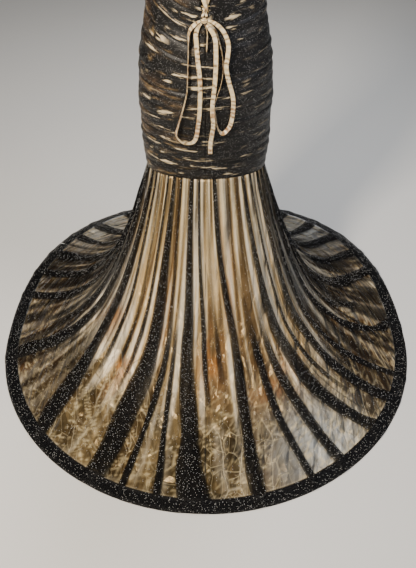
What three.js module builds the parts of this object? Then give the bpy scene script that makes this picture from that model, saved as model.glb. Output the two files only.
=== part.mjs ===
// A strapless mermaid dress as it is worn, empty, with its back to -Y and the wearer's left at -X.
// A ruched sheath closes at the centre back, where a satin ribbon laces a V opening and is tied in
// a long bow. From the thigh down a flared satin skirt with a short train stands under an overlay
// of gathered tulle, which is longer than the satin all round. Millimetres, +Z up. The origin is
// the centre of the waist, where the wearer holds the dress up.
import * as THREE from 'three';

// Main sizes
const WAIST_HEIGHT = 1140; // above the floor that the train lies on
const SEAM_HEIGHT = 640; // where the skirt is sewn to the sheath
const SEAM_DIP = 12; // higher than that at the back and lower at the front
const SEWN_GAP = 0.4; // between two pieces sewn together
const SHEATH_THICK = 2;
const SATIN_THICK = 1.2;
const TULLE_THICK = 1.2;
const RIBBON_THICK = 1;
const RIBBON_WIDTH = 12;

// The sheath's inside at each height: half its width, and its depth behind and before the middle.
const SECTIONS = [
  { height: 620, half: 180, back: 110, front: 112 },
  { height: 652, half: 180, back: 110, front: 112 },
  { height: 700, half: 185, back: 113, front: 112 },
  { height: 800, half: 187, back: 121, front: 114 },
  { height: 860, half: 188, back: 128, front: 115 },
  { height: 930, half: 186, back: 134, front: 115 },
  { height: 1016, half: 177, back: 125, front: 115 },
  { height: 1089, half: 164, back: 109, front: 115 },
  { height: 1142, half: 155, back: 100, front: 115 },
  { height: 1190, half: 150, back: 97, front: 116 },
  { height: 1250, half: 152, back: 97, front: 120 },
  { height: 1330, half: 163, back: 98, front: 132 },
  { height: 1430, half: 160, back: 95, front: 124 },
];

// The top edge, by the angle from the centre front: two cups with a dip between them.
const TOP_EDGE = [
  { fromFront: 0, height: 1383 },
  { fromFront: 28, height: 1424 },
  { fromFront: 60, height: 1398 },
  { fromFront: 95, height: 1368 },
  { fromFront: 180, height: 1350 },
];
const CUP = { fromFront: 28, wide: 22, height: 1325, tall: 62, depth: 20 };

// Ruching: crests and hollows in turn, which climb towards the side seams.
const RUCHE_ROWS = 48; // a crest on every second row
const INSIDE_EVERY = 4; // the plain inside has a row for every fourth of them
const SHEATH_COLUMNS = 9; // in each of the four panels
const RUCHE_UNEVEN = 0.25; // of the distance between two rows
const RUCHE_LOW = 1.4;
const RUCHE_HIGH = 4.2;
const RUCHE_CLIMB = [
  { share: 0, left: 0, right: 0 },
  { share: 0.12, left: 22, right: 8 },
  { share: 0.3, left: 6, right: 10 },
  { share: 0.45, left: 16, right: 12 },
  { share: 0.65, left: 78, right: 20 },
  { share: 0.85, left: 52, right: 16 },
  { share: 1, left: 0, right: 0 },
];

// The V opening at the centre back, from its point up
const V_FOOT = 1110;
const V_SPREAD = 0.2; // half-width gained for each millimetre of height

// The skirt: its satin hem is round behind and squarer in front, and the train lies behind.
const HEM_HALF = 660;
const HEM_BACK = 660;
const HEM_FRONT = 690;
const HEM_MIDDLE = -130; // the hem's centre, behind the waist's
const HEM_FRONT_SQUARE = 2.6; // 2 is an ellipse
const HEM_FRONT_LIFT = 60;
const FLARE = 3.3; // how soon the skirt turns outwards below the seam
const TULLE_BEYOND = 680; // overlay past the satin hem, for each unit of share over 1
const TULLE_DROOP = 5; // share of the front hem's height that it drops, for each unit past 1
const SATIN_ROWS = [0, 0.05, 0.12, 0.21, 0.33, 0.48, 0.7, 1];
const SATIN_COLUMNS = 15; // in each of the four gores
const SATIN_WAVES = 15; // soft flutes all round
const SATIN_WAVE = 5;

// The overlay at each share of the way from the seam to the satin's hem: how far it lies off the
// satin, or off the floor past the hem, and how high its folds stand there.
const OVERLAY_ROWS = [
  { share: 0, off: 0.6, fold: 0 },
  { share: 0.05, off: 3, fold: 0.65 },
  { share: 0.12, off: 3, fold: 0.9 },
  { share: 0.21, off: 3, fold: 1 },
  { share: 0.33, off: 3, fold: 1 },
  { share: 0.48, off: 3, fold: 1 },
  { share: 0.7, off: 3, fold: 0.95 },
  { share: 1, off: 3, fold: 0.85 },
  { share: 1.024, off: 1.8, fold: 0.6 },
  { share: 1.064, off: 0, fold: 0.35 },
];
const KNEE = 0.35; // the share at which a fold's middle angle and width are given

// The overlay's folds, by their angle from the centre back (positive towards the wearer's right) at
// the seam, the knee and the hem, their width in degrees there, and how high they stand. A fold
// that dies out on the way down has the share that it reaches.
const FOLDS = [
  { seam: -172, knee: -172, hem: -170, kneeWide: 6, hemWide: 5, high: 8 },
  { seam: -158, knee: -157, hem: -156, kneeWide: 5, hemWide: 4, high: 7 },
  { seam: -146, knee: -145, hem: -143, kneeWide: 7, hemWide: 5, high: 9 },
  { seam: -132, knee: -131, hem: -133, kneeWide: 4, hemWide: 4, high: 7 },
  { seam: -120, knee: -119, hem: -121, kneeWide: 6, hemWide: 5, high: 9 },
  { seam: -106, knee: -108, hem: -111, kneeWide: 5, hemWide: 4, high: 8 },
  { seam: -90, knee: -96, hem: -101, kneeWide: 5, hemWide: 3, high: 9 },
  { seam: -82, knee: -85, hem: -91, kneeWide: 2.4, hemWide: 2, high: 5, reach: 0.8 },
  { seam: -74, knee: -74, hem: -82, kneeWide: 6.8, hemWide: 5.2, high: 10 },
  { seam: -62, knee: -60, hem: -52, kneeWide: 8.6, hemWide: 5, high: 10 },
  { seam: -54, knee: -50, hem: -45, kneeWide: 2.4, hemWide: 2, high: 5, reach: 0.6 },
  { seam: -46, knee: -42, hem: -41, kneeWide: 2.4, hemWide: 2, high: 5, reach: 0.5 },
  { seam: -38, knee: -36, hem: -36.5, kneeWide: 2.4, hemWide: 2, high: 5, reach: 0.6 },
  { seam: -31, knee: -28, hem: -30, kneeWide: 8.8, hemWide: 5.9, high: 10 },
  { seam: -23.5, knee: -20, hem: -21.5, kneeWide: 2.6, hemWide: 1.8, high: 6 },
  { seam: -18.5, knee: -15.8, hem: -13, kneeWide: 2, hemWide: 1.8, high: 5 },
  { seam: -13, knee: -9.5, hem: -3, kneeWide: 6.6, hemWide: 8, high: 10 },
  { seam: -6, knee: -1, hem: 4.5, kneeWide: 2.4, hemWide: 2, high: 5, reach: 0.6 },
  { seam: 1, knee: 6, hem: 9, kneeWide: 2.4, hemWide: 2, high: 5, reach: 0.5 },
  { seam: 8, knee: 14.6, hem: 13.5, kneeWide: 4.2, hemWide: 4.2, high: 9 },
  { seam: 17, knee: 24.6, hem: 28, kneeWide: 3.2, hemWide: 2.4, high: 7 },
  { seam: 27, knee: 31.2, hem: 38, kneeWide: 4, hemWide: 3.2, high: 8 },
  { seam: 37, knee: 39, hem: 53, kneeWide: 7.6, hemWide: 5, high: 10 },
  { seam: 47, knee: 47, hem: 59, kneeWide: 2.4, hemWide: 2, high: 5, reach: 0.8 },
  { seam: 58, knee: 54.5, hem: 64.5, kneeWide: 6, hemWide: 4, high: 9 },
  { seam: 68, knee: 63.5, hem: 74, kneeWide: 4, hemWide: 2.4, high: 8 },
  { seam: 80, knee: 76, hem: 92, kneeWide: 4.4, hemWide: 2.6, high: 8 },
  { seam: 94, knee: 86, hem: 102, kneeWide: 2.4, hemWide: 2, high: 5, reach: 0.8 },
  { seam: 106, knee: 98, hem: 112, kneeWide: 6.8, hemWide: 4.6, high: 9 },
  { seam: 119, knee: 116, hem: 122, kneeWide: 5, hemWide: 4, high: 8 },
  { seam: 131, knee: 130, hem: 133, kneeWide: 6, hemWide: 5, high: 9 },
  { seam: 144, knee: 143, hem: 145, kneeWide: 5, hemWide: 4, high: 7 },
  { seam: 156, knee: 156, hem: 157, kneeWide: 7, hemWide: 5, high: 9 },
  { seam: 170, knee: 170, hem: 171, kneeWide: 5, hemWide: 4, high: 8 },
];
const SEAM_WIDE = 4; // a fold's width in degrees where it is gathered into the seam
const NARROW = 3; // a fold under this has one crest line, and a wider one a flat crest
const WIDE_HOLLOW = 5; // a hollow over this, in degrees, has a line of points along its middle
// Each overlay panel starts in the hollow after this many folds, and ends where the next starts.
const OVERLAY_PANELS = [
  { name: 'overlay_left', after: 3 },
  { name: 'overlay_back', after: 10 },
  { name: 'overlay_right', after: 24 },
  { name: 'overlay_front', after: 31 },
];

// The ribbon of the lacing: loops of cord down both edges of the V, and how it passes them.
const LACE_ROWS = [1158, 1203, 1248, 1293, 1334];
const LOOP_REACH = 4.4;
const LOOP_TALL = 16;
const LOOP_CORD = 1; // radius
const LOOP_SQUARE = 0.4; // 1 is half an ellipse, and less is squarer
const LOOP_OUT = 1; // the loops' middle, off the sheath's inside
const LACE_PINCH = 6.4; // the ribbon's width inside a loop
const LACE_LEAD = 3; // how far before a loop the ribbon is already under it
const LACE_CLEAR = 0.6;
const LACE_ROUND = LOOP_CORD + LACE_CLEAR + RIBBON_THICK / 2;
const LACE_OVER = 5; // how far out the upper ribbon crosses
const LACE_UNDER = 1;

// The bow. Across, height and out place the ribbon's middle, out from the sheath's inside, and turn
// is 0 where the ribbon lies flat and 90 where it stands on edge.
const KNOT = { across: -3, height: 1134, out: 13, half: { x: 9, y: 5, z: 7.5 } };
const BOW_PINCH = 0.5; // the ribbon's width at the knot, as a share of its own
const LOOP_LEFT = [
  { across: -12.8, height: 1134, out: 14, turn: 0 },
  { across: -23, height: 1128, out: 14, turn: 20 },
  { across: -40, height: 1108, out: 14, turn: 60 },
  { across: -44, height: 1057, out: 14, turn: 80 },
  { across: -47, height: 988, out: 14, turn: 80 },
  { across: -50, height: 947, out: 14, turn: 80 },
  { across: -62, height: 896, out: 14, turn: 80 },
  { across: -76, height: 844, out: 14, turn: 75 },
  { across: -82, height: 812, out: 13, turn: 60 },
  { across: -63, height: 790, out: 11, turn: 30 },
  { across: -34, height: 796, out: 9, turn: 0 },
  { across: -20, height: 856, out: 9, turn: 0 },
  { across: -15, height: 924, out: 9, turn: 0 },
  { across: -15, height: 988, out: 9, turn: 0 },
  { across: -20, height: 1034, out: 9, turn: 0 },
  { across: -23, height: 1074, out: 9, turn: 0 },
  { across: -24, height: 1102, out: 9, turn: 0 },
  { across: -17, height: 1119, out: 10, turn: 0 },
  { across: -10.2, height: 1126.6, out: 12, turn: 0 },
];
const LOOP_RIGHT = [
  { across: 6.8, height: 1135, out: 14, turn: 0 },
  { across: 17, height: 1133, out: 17, turn: 0 },
  { across: 38, height: 1119, out: 20, turn: 10 },
  { across: 52, height: 1098, out: 21, turn: 10 },
  { across: 59, height: 1074, out: 21, turn: 0 },
  { across: 57, height: 1046, out: 21, turn: 0 },
  { across: 54, height: 1023, out: 21, turn: 0 },
  { across: 56, height: 1006, out: 20, turn: 0 },
  { across: 63, height: 974, out: 14, turn: 0 },
  { across: 72, height: 940, out: 10, turn: 0 },
  { across: 75, height: 916, out: 10, turn: 0 },
  { across: 73, height: 871, out: 10, turn: 0 },
  { across: 65, height: 840, out: 11, turn: 20 },
  { across: 47, height: 824, out: 13, turn: 55 },
  { across: 35, height: 838, out: 13, turn: 85 },
  { across: 27, height: 882, out: 13, turn: 85 },
  { across: 24, height: 912, out: 13, turn: 85 },
  { across: 32, height: 946, out: 13, turn: 85 },
  { across: 42, height: 980, out: 13, turn: 85 },
  { across: 46, height: 1018, out: 13, turn: 85 },
  { across: 43, height: 1052, out: 13, turn: 85 },
  { across: 37, height: 1076, out: 13, turn: 85 },
  { across: 28, height: 1104, out: 13, turn: 80 },
  { across: 16, height: 1120, out: 13, turn: 60 },
  { across: 5.2, height: 1128.4, out: 13, turn: 40 },
];
const TAIL_LONG = [
  { across: 2.6, height: 1125.6, out: 15.5, turn: 0 },
  { across: 9, height: 1119, out: 19.5, turn: 0 },
  { across: 19, height: 1107, out: 21, turn: 0 },
  { across: 25, height: 1090, out: 21, turn: 0 },
  { across: 27, height: 1060, out: 21, turn: 0 },
  { across: 26, height: 1002, out: 21, turn: 0 },
  { across: 22, height: 956, out: 21, turn: 0 },
  { across: 18, height: 912, out: 21, turn: 0 },
  { across: 21, height: 856, out: 20, turn: 0 },
  { across: 18, height: 828, out: 15, turn: 0 },
  { across: 13, height: 789, out: 11, turn: 0 },
  { across: 13, height: 757, out: 10, turn: 0 },
];
const TAIL_SHORT = [
  { across: -2.6, height: 1125.8, out: 13, turn: 70 },
  { across: 2, height: 1116, out: 13, turn: 80 },
  { across: 5, height: 1102, out: 13, turn: 80 },
  { across: 3, height: 1059, out: 13, turn: 80 },
];
const HANG_BELOW = 930; // under the seat the ribbon hangs free of the sheath
const HANG_CLOSE = 0.35; // and falls back by this share of what the sheath does
const STEPS_PER_POINT = 2;

const FINISHES = {
  ruched: { color: 0x2b2622, roughness: 0.6, metalness: 0 },
  satin: { color: 0xc8ad80, roughness: 0.35, metalness: 0 },
  tulle: { color: 0x16161a, roughness: 0.8, metalness: 0 },
  ribbon: { color: 0xe3cfa6, roughness: 0.3, metalness: 0 },
};

const radians = THREE.MathUtils.degToRad;
const lerp = THREE.MathUtils.lerp;
const smooth = THREE.MathUtils.smoothstep;

// The value of a table's column at a place between its rows, on a smooth curve through them.
function read(table, by, column, at) {
  const last = table.length - 1;
  if (at <= table[0][by]) return table[0][column];
  if (at >= table[last][by]) return table[last][column];
  const i = table.findIndex((row) => row[by] > at) - 1;
  const slope = (k) => {
    const before = table[Math.max(k - 1, 0)];
    const after = table[Math.min(k + 1, last)];
    return (after[column] - before[column]) / (after[by] - before[by]);
  };
  const span = table[i + 1][by] - table[i][by];
  const u = (at - table[i][by]) / span;
  const start = (2 * u - 3) * u * u + 1;
  const bend = ((u - 2) * u + 1) * u * span * slope(i);
  const settle = (u - 1) * u * u * span * slope(i + 1);
  return start * table[i][column] + (1 - start) * table[i + 1][column] + bend + settle;
}

function place(x, y, height) {
  return new THREE.Vector3(x, y, height - WAIST_HEIGHT);
}

function signedPower(value, power) {
  return Math.sign(value) * Math.abs(value) ** power;
}

// Sheath

function seamHeight(angle) {
  return SEAM_HEIGHT + SEAM_DIP * Math.cos(radians(angle));
}

function topHeight(angle) {
  return read(TOP_EDGE, 'fromFront', 'height', 180 - Math.abs(angle));
}

function cupDepth(angle, height) {
  const aside = (180 - Math.abs(angle) - CUP.fromFront) / CUP.wide;
  const above = (height - CUP.height) / CUP.tall;
  return CUP.depth * Math.exp(-aside * aside - above * above);
}

// A point of the sheath, a distance out from its inside. The angle is 0 at the centre back.
function sheathPoint(angle, height, out) {
  const sin = Math.sin(radians(angle));
  const cos = Math.cos(radians(angle));
  const half = read(SECTIONS, 'height', 'half', height);
  const depth = read(SECTIONS, 'height', cos > 0 ? 'back' : 'front', height);
  const normal = new THREE.Vector3(sin / half, -cos / depth, 0).normalize();
  const surface = place(half * sin, -depth * cos, height);
  return surface.addScaledVector(normal, out + cupDepth(angle, height));
}

// Half the distance between the two back panels
function backOpening(height) {
  return SEWN_GAP / 2 + V_SPREAD * Math.max(0, height - V_FOOT);
}

// Where a row lies between the seam and the top edge. The rows are unevenly spaced.
function rucheShare(row) {
  const share = row / RUCHE_ROWS;
  return share + RUCHE_UNEVEN / RUCHE_ROWS * Math.sin(2.1 * row) * Math.sin(Math.PI * share);
}

function rucheHeight(row, angle) {
  const share = rucheShare(row);
  const side = Math.sin(radians(angle)) ** 2;
  const climb = read(RUCHE_CLIMB, 'share', angle < 0 ? 'left' : 'right', share) * side;
  return lerp(seamHeight(angle) + SEWN_GAP / 2, topHeight(angle), share) + climb;
}

// How far a crest or a hollow stands out. A crest is strongest over part of its length.
function rucheOut(row, angle) {
  if (row % 2 === 0 || row > RUCHE_ROWS - 2) return 0;
  const strength = 0.5 + 0.5 * Math.sin(radians(2.2 * angle) + 2.4 * row);
  return lerp(RUCHE_LOW, RUCHE_HIGH, strength);
}

// A panel between two edges, each given by its angle at a height.
function sheathPanel(columns, fromAngle, toAngle) {
  const angleAt = (height, share) => lerp(fromAngle(height), toAngle(height), share);
  const grid = (rows, out) => rows.map((row) => Array.from({ length: columns + 1 }, (_, column) => {
    const share = column / columns;
    const roughly = angleAt(rucheHeight(row, angleAt(SEAM_HEIGHT, share)), share);
    const angle = angleAt(rucheHeight(row, roughly), share);
    return sheathPoint(angle, rucheHeight(row, angle), out(row, angle));
  }));
  const outerRows = Array.from({ length: RUCHE_ROWS + 1 }, (_, row) => row);
  const innerRows = outerRows.filter((row) => row % INSIDE_EVERY === 0);
  const outer = grid(outerRows, (row, angle) => SHEATH_THICK + rucheOut(row, angle));
  return wall(outer, grid(innerRows, () => 0));
}

// The angle of a back panel's inner edge, where the sheath is half as wide as the opening says
function openingAngle(height) {
  const half = read(SECTIONS, 'height', 'half', height);
  return THREE.MathUtils.radToDeg(Math.asin(backOpening(height) / half));
}

// The angle that a sewn gap takes up at the side seams
function sideAngle(height) {
  return THREE.MathUtils.radToDeg(SEWN_GAP / 2 / read(SECTIONS, 'height', 'back', height));
}

// Skirt

// A point of the skirt's inside. The share is 0 at the seam and 1 at the satin's hem.
function skirtInside(angle, share) {
  const sin = Math.sin(radians(angle));
  const cos = Math.cos(radians(angle));
  const seam = sheathPoint(angle, seamHeight(angle), 0);
  const power = cos > 0 ? 1 : 2 / HEM_FRONT_SQUARE;
  const hemHeight = HEM_FRONT_LIFT * THREE.MathUtils.clamp((Math.abs(angle) - 100) / 80, 0, 1);
  const across = HEM_HALF * signedPower(sin, power);
  const along = HEM_MIDDLE - (cos > 0 ? HEM_BACK : HEM_FRONT) * signedPower(cos, power);
  const hem = place(across, along, hemHeight);
  const fall = (Math.exp(-FLARE * share) - Math.exp(-FLARE)) / (1 - Math.exp(-FLARE));
  const point = new THREE.Vector3().lerpVectors(seam, hem, Math.min(share, 1));
  point.z = lerp(hem.z, seam.z, Math.max(fall, 0)) - (share === 0 ? SEWN_GAP / 2 : 0);
  if (share <= 1) return point;
  const outwards = hem.clone().sub(seam).setZ(0).normalize();
  const droop = 1 - TULLE_DROOP * (share - 1);
  point.addScaledVector(outwards, TULLE_BEYOND * (share - 1));
  return point.setZ(hemHeight * droop - WAIST_HEIGHT);
}

// The direction out of the cloth, which turns from level at the seam to nearly upright at the hem
function skirtNormal(angle, share) {
  const down = Math.min(share, 0.99);
  const around = skirtInside(angle + 0.5, down).sub(skirtInside(angle - 0.5, down));
  const along = skirtInside(angle, down + 0.01).sub(skirtInside(angle, Math.max(down, 0.001)));
  const normal = along.cross(around).normalize();
  normal.z *= smooth(share, 0, 0.04);
  return normal.normalize();
}

function skirtPoint(angle, share, out) {
  return skirtInside(angle, share).addScaledVector(skirtNormal(angle, share), out);
}

// The satin's soft flutes, which start below the seam and are never under the plain cone
function satinWave(angle, share) {
  const turn = radians(angle);
  const wave = 0.5 - 0.5 * Math.cos(SATIN_WAVES * turn + 0.8 * Math.sin(2 * turn + 0.6));
  return SATIN_WAVE * wave * smooth(share, 0, 0.18) * (1 - 0.5 * smooth(share, 0.7, 1));
}

function satinGore(fromAngle, toAngle) {
  const trim = (share) => lerp(SEWN_GAP / 2 / 110, SEWN_GAP / 2 / HEM_HALF, share);
  const columns = Array.from({ length: SATIN_COLUMNS + 1 }, (_, column) => column);
  const grid = (out) => SATIN_ROWS.map((share) => columns.map((column) => {
    const inset = THREE.MathUtils.radToDeg(trim(share));
    const angle = lerp(fromAngle + inset, toAngle - inset, column / SATIN_COLUMNS);
    return skirtPoint(angle, share, satinWave(angle, share) + out);
  }));
  return wall(grid(SATIN_THICK), grid(0));
}

// Overlay

function foldAngle(fold, share) {
  if (share < KNEE) return lerp(fold.seam, fold.knee, smooth(share, 0, KNEE));
  return lerp(fold.knee, fold.hem, (Math.min(share, 1) - KNEE) / (1 - KNEE));
}

function foldWide(fold, share) {
  if (share < KNEE) return lerp(Math.min(SEAM_WIDE, fold.kneeWide), fold.kneeWide, share / KNEE);
  return lerp(fold.kneeWide, fold.hemWide, (Math.min(share, 1) - KNEE) / (1 - KNEE));
}

// The lines of points that run down one fold: where each lies across it, and its height.
function foldLines(fold, turn) {
  const across = fold.kneeWide < NARROW ? [-1, 0, 1] : [-1, -0.4, 0.4, 1];
  return across.map((side) => ({
    angle: (share) => foldAngle(fold, share) + turn + side * foldWide(fold, share) / 2,
    high: (share) => {
      const left = fold.reach ? Math.max(0, 1 - share / fold.reach) : 1;
      return Math.abs(side) === 1 ? 0 : fold.high * Math.sqrt(left);
    },
  }));
}

// All the lines from the hollow after one fold to the hollow after another
function overlayLines(first, last) {
  const foldAt = (i) => FOLDS[i % FOLDS.length];
  const turnAt = (i) => 360 * Math.floor(i / FOLDS.length);
  const hollow = (i) => {
    const before = foldLines(foldAt(i), turnAt(i)).at(-1);
    const after = foldLines(foldAt(i + 1), turnAt(i + 1))[0];
    const angle = (share) => (before.angle(share) + after.angle(share)) / 2;
    const widest = Math.max(...[0, KNEE, 1].map((share) => after.angle(share) - before.angle(share)));
    return { angle, high: () => 0, widest };
  };
  const lines = [hollow(first)];
  for (let i = first + 1; i <= last; i += 1) {
    lines.push(...foldLines(foldAt(i), turnAt(i)));
    if (i === last || hollow(i).widest > WIDE_HOLLOW) lines.push(hollow(i));
  }
  return lines;
}

function overlayPanel(first, last) {
  const lines = overlayLines(first, last);
  const grid = (out) => OVERLAY_ROWS.map((row) => lines.map((line, i) => {
    const inset = THREE.MathUtils.radToDeg(SEWN_GAP / 2 / lerp(110, HEM_HALF, Math.min(row.share, 1)));
    const trim = (i === 0 ? inset : 0) - (i === lines.length - 1 ? inset : 0);
    const angle = line.angle(row.share) + trim;
    const onSatin = row.share > 1 ? 0 : satinWave(angle, row.share) + SATIN_THICK;
    return overlayPoint(angle, row, onSatin + row.off + row.fold * line.high(row.share) + out);
  }));
  return wall(grid(TULLE_THICK), grid(0), true);
}

// Angles past the centre front are brought back to the range that the skirt is drawn in.
function overlayPoint(angle, row, out) {
  const within = THREE.MathUtils.euclideanModulo(angle + 180, 360) - 180;
  return skirtPoint(within, row.share, out);
}

// Ribbons

// How far back the sheath reaches at a place across it. Below the seat a ribbon hangs clear.
function backDepth(across, height) {
  const at = (level) => {
    const half = read(SECTIONS, 'height', 'half', level);
    return read(SECTIONS, 'height', 'back', level) * Math.sqrt(1 - (across / half) ** 2);
  };
  return height > HANG_BELOW ? at(height) : lerp(at(HANG_BELOW), at(height), HANG_CLOSE);
}

function behind(across, height, out) {
  return place(across, -backDepth(across, height) - out, height);
}

// A flat band along points, each with its width and the direction of its width.
function band(stations) {
  const last = stations.length - 1;
  const rings = stations.map(({ point, wide, direction }, i) => {
    const before = stations[Math.max(i - 1, 0)].point;
    const after = stations[Math.min(i + 1, last)].point;
    const along = after.clone().sub(before).normalize();
    const face = along.clone().cross(direction).normalize();
    const edge = face.clone().cross(along).multiplyScalar(wide / 2);
    const thick = face.multiplyScalar(RIBBON_THICK / 2);
    const corner = (a, b) => point.clone().addScaledVector(edge, a).addScaledVector(thick, b);
    return [corner(-1, -1), corner(1, -1), corner(1, 1), corner(-1, 1)];
  });
  const faces = [];
  const index = (i, k) => 4 * i + (k % 4);
  for (let i = 1; i <= last; i += 1) {
    for (let k = 0; k < 4; k += 1) {
      faces.push([index(i - 1, k), index(i - 1, k + 1), index(i, k + 1)]);
      faces.push([index(i - 1, k), index(i, k + 1), index(i, k)]);
    }
  }
  faces.push([0, 2, 1], [0, 3, 2]);
  faces.push([index(last, 0), index(last, 1), index(last, 2)]);
  faces.push([index(last, 0), index(last, 2), index(last, 3)]);
  return body(rings.flat(), faces);
}

// A stretch of the bow, from its table. It is pinched where it enters the knot.
function bowRibbon(route, pinchedEnds) {
  const curve = new THREE.CatmullRomCurve3(route.map((row) => behind(row.across, row.height, row.out)));
  const steps = (route.length - 1) * STEPS_PER_POINT;
  const turns = route.map((row, i) => ({ i, turn: row.turn }));
  const stations = Array.from({ length: steps + 1 }, (_, step) => {
    const share = step / steps;
    const along = curve.getTangent(share);
    const flat = along.clone().cross(new THREE.Vector3(0, -1, 0)).normalize();
    const turn = read(turns, 'i', 'turn', share * (route.length - 1));
    const fromKnot = pinchedEnds === 2 ? Math.min(step, steps - step) : step;
    const wide = RIBBON_WIDTH * lerp(BOW_PINCH, 1, smooth(fromKnot, 0, 4));
    return { point: curve.getPoint(share), wide, direction: flat.applyAxisAngle(along, radians(turn)) };
  });
  return band(stations);
}

function loopMiddle(height) {
  return backOpening(height) - SEWN_GAP - LOOP_REACH;
}

// One cord loop, a half ring whose ends meet the edge of the back panel
function cordLoop(height, side) {
  const points = Array.from({ length: 9 }, (_, i) => {
    const turn = radians(-90 + 180 * i / 8);
    const level = height + (LOOP_TALL / 2 - LOOP_CORD) * Math.sin(turn);
    const edge = backOpening(level) - SEWN_GAP;
    const across = lerp(edge, loopMiddle(height), Math.cos(turn) ** LOOP_SQUARE);
    return behind(side * across, level, LOOP_OUT);
  });
  const section = Array.from({ length: 6 }, (_, i) => {
    const turn = Math.PI * i / 3;
    return new THREE.Vector2(LOOP_CORD * Math.cos(turn), LOOP_CORD * Math.sin(turn));
  });
  const extrudePath = new THREE.CatmullRomCurve3(points);
  const shape = new THREE.Shape(section);
  return new THREE.ExtrudeGeometry(shape, { steps: 8, bevelEnabled: false, extrudePath });
}

// The ribbon's way round one loop's cord: in under it, out through the loop and back over it.
function laceTurn(height, side) {
  const direction = new THREE.Vector3(0, 0, 1);
  const at = (across, out) => ({ point: behind(side * across, height, out), wide: LACE_PINCH, direction });
  const around = [-90, -40, 0, 40, 90].map((turn) => at(
    loopMiddle(height) + LACE_ROUND * Math.cos(radians(turn)),
    LOOP_OUT + LACE_ROUND * Math.sin(radians(turn)),
  ));
  const arrives = at(loopMiddle(height) - LACE_LEAD, LOOP_OUT - LACE_ROUND);
  const leaves = at(loopMiddle(height) - LACE_LEAD / 2, LOOP_OUT + LACE_ROUND + LACE_CLEAR);
  return [arrives, ...around, leaves];
}

// The middle of a stretch of ribbon between two places, square to its own direction
function laceSpan(from, to, out) {
  const run = to.clone().sub(from);
  const direction = new THREE.Vector3(-run.z, 0, run.x).multiplyScalar(Math.sign(run.x)).normalize();
  const middle = from.clone().add(to).multiplyScalar(0.5);
  return { point: behind(middle.x, middle.z + WAIST_HEIGHT, out), wide: RIBBON_WIDTH, direction };
}

// A station of the ribbon where it passes between the knot and the lowest loops
function laceEnd(across, height, out) {
  return { point: behind(across, height, out), wide: LACE_PINCH, direction: new THREE.Vector3(1, 0, 0) };
}

// One ribbon laced from the knot up through the loops, across the top and down again to the knot
function lacing() {
  const upTurns = LACE_ROWS.map((height, i) => laceTurn(height, i % 2 === 0 ? 1 : -1));
  const downTurns = LACE_ROWS.map((height, i) => laceTurn(height, i % 2 === 0 ? -1 : 1)).reverse();
  const turns = [...upTurns, ...downTurns];
  const stations = [laceEnd(2.6, 1142.4, 13), laceEnd(1.5, 1148, 6.5), laceEnd(-0.5, 1153, 1.2)];
  turns.forEach((turn, i) => {
    stations.push(...turn);
    if (i + 1 === turns.length) return;
    const out = i < LACE_ROWS.length - 1 ? LACE_OVER : LACE_UNDER;
    stations.push(laceSpan(turn.at(-1).point, turns[i + 1][0].point, out));
  });
  stations.push(laceEnd(-5, 1150, 8), laceEnd(-8.6, 1142.4, 13));
  return band(stations);
}

function knot() {
  const centre = behind(KNOT.across, KNOT.height, KNOT.out);
  const round = new THREE.SphereGeometry(1, 14, 10);
  round.scale(KNOT.half.x, KNOT.half.y, KNOT.half.z);
  return round.translate(centre.x, centre.y, centre.z);
}

// Solids

// A closed body from points and triangles, turned so that its faces point outwards
function body(points, faces) {
  const volume = faces.reduce((sum, [a, b, c]) => (
    sum + points[a].dot(points[b].clone().cross(points[c]))
  ), 0);
  const turned = volume > 0 ? faces : faces.map(([a, b, c]) => [a, c, b]);
  const geometry = new THREE.BufferGeometry().setFromPoints(points);
  geometry.setIndex(turned.flat());
  geometry.computeVertexNormals();
  return geometry;
}

// A wall of cloth between an outer and an inner grid, each a list of rows of points. They have the
// same columns, and the outer one may have more rows. Both split their faces along the same
// diagonals, so that a thin wall doesn't cross itself where it twists, and crossed walls take the
// other diagonal.
function wall(outer, inner, crossed = false) {
  const points = [];
  const faces = [];
  const numbered = (grid) => grid.map((row) => row.map((point) => points.push(point) - 1));
  const sheet = (grid, turned) => {
    for (let r = 1; r < grid.length; r += 1) {
      for (let c = 1; c < grid[r].length; c += 1) {
        const ring = [grid[r - 1][c - 1], grid[r - 1][c], grid[r][c], grid[r][c - 1]];
        const [a, b, far, d] = crossed ? [...ring.slice(1), ring[0]] : ring;
        faces.push(turned ? [far, b, a] : [a, b, far], turned ? [d, far, a] : [a, far, d]);
      }
    }
  };
  const edge = (a, b) => {
    let [i, j] = [0, 0];
    while (i < a.length - 1 || j < b.length - 1) {
      const outerNext = j === b.length - 1
        || (i < a.length - 1 && (i + 1) / (a.length - 1) <= (j + 1) / (b.length - 1));
      if (outerNext) {
        faces.push([a[i + 1], a[i], b[j]]);
        i += 1;
      } else {
        faces.push([b[j], b[j + 1], a[i]]);
        j += 1;
      }
    }
  };
  const [out, into] = [numbered(outer), numbered(inner)];
  const sides = (grid) => [
    grid[0],
    grid.map((row) => row.at(-1)),
    [...grid.at(-1)].reverse(),
    grid.map((row) => row[0]).reverse(),
  ];
  sheet(out, false);
  sheet(into, true);
  sides(out).forEach((side, i) => edge(side, sides(into)[i]));
  return body(points, faces);
}

// Assembly

const dress = new THREE.Group();

function piece(group, name, geometry, finish) {
  const mesh = new THREE.Mesh(geometry, new THREE.MeshStandardMaterial(FINISHES[finish]));
  mesh.name = name;
  group.add(mesh);
}

function section() {
  const group = new THREE.Group();
  dress.add(group);
  return group;
}

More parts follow.
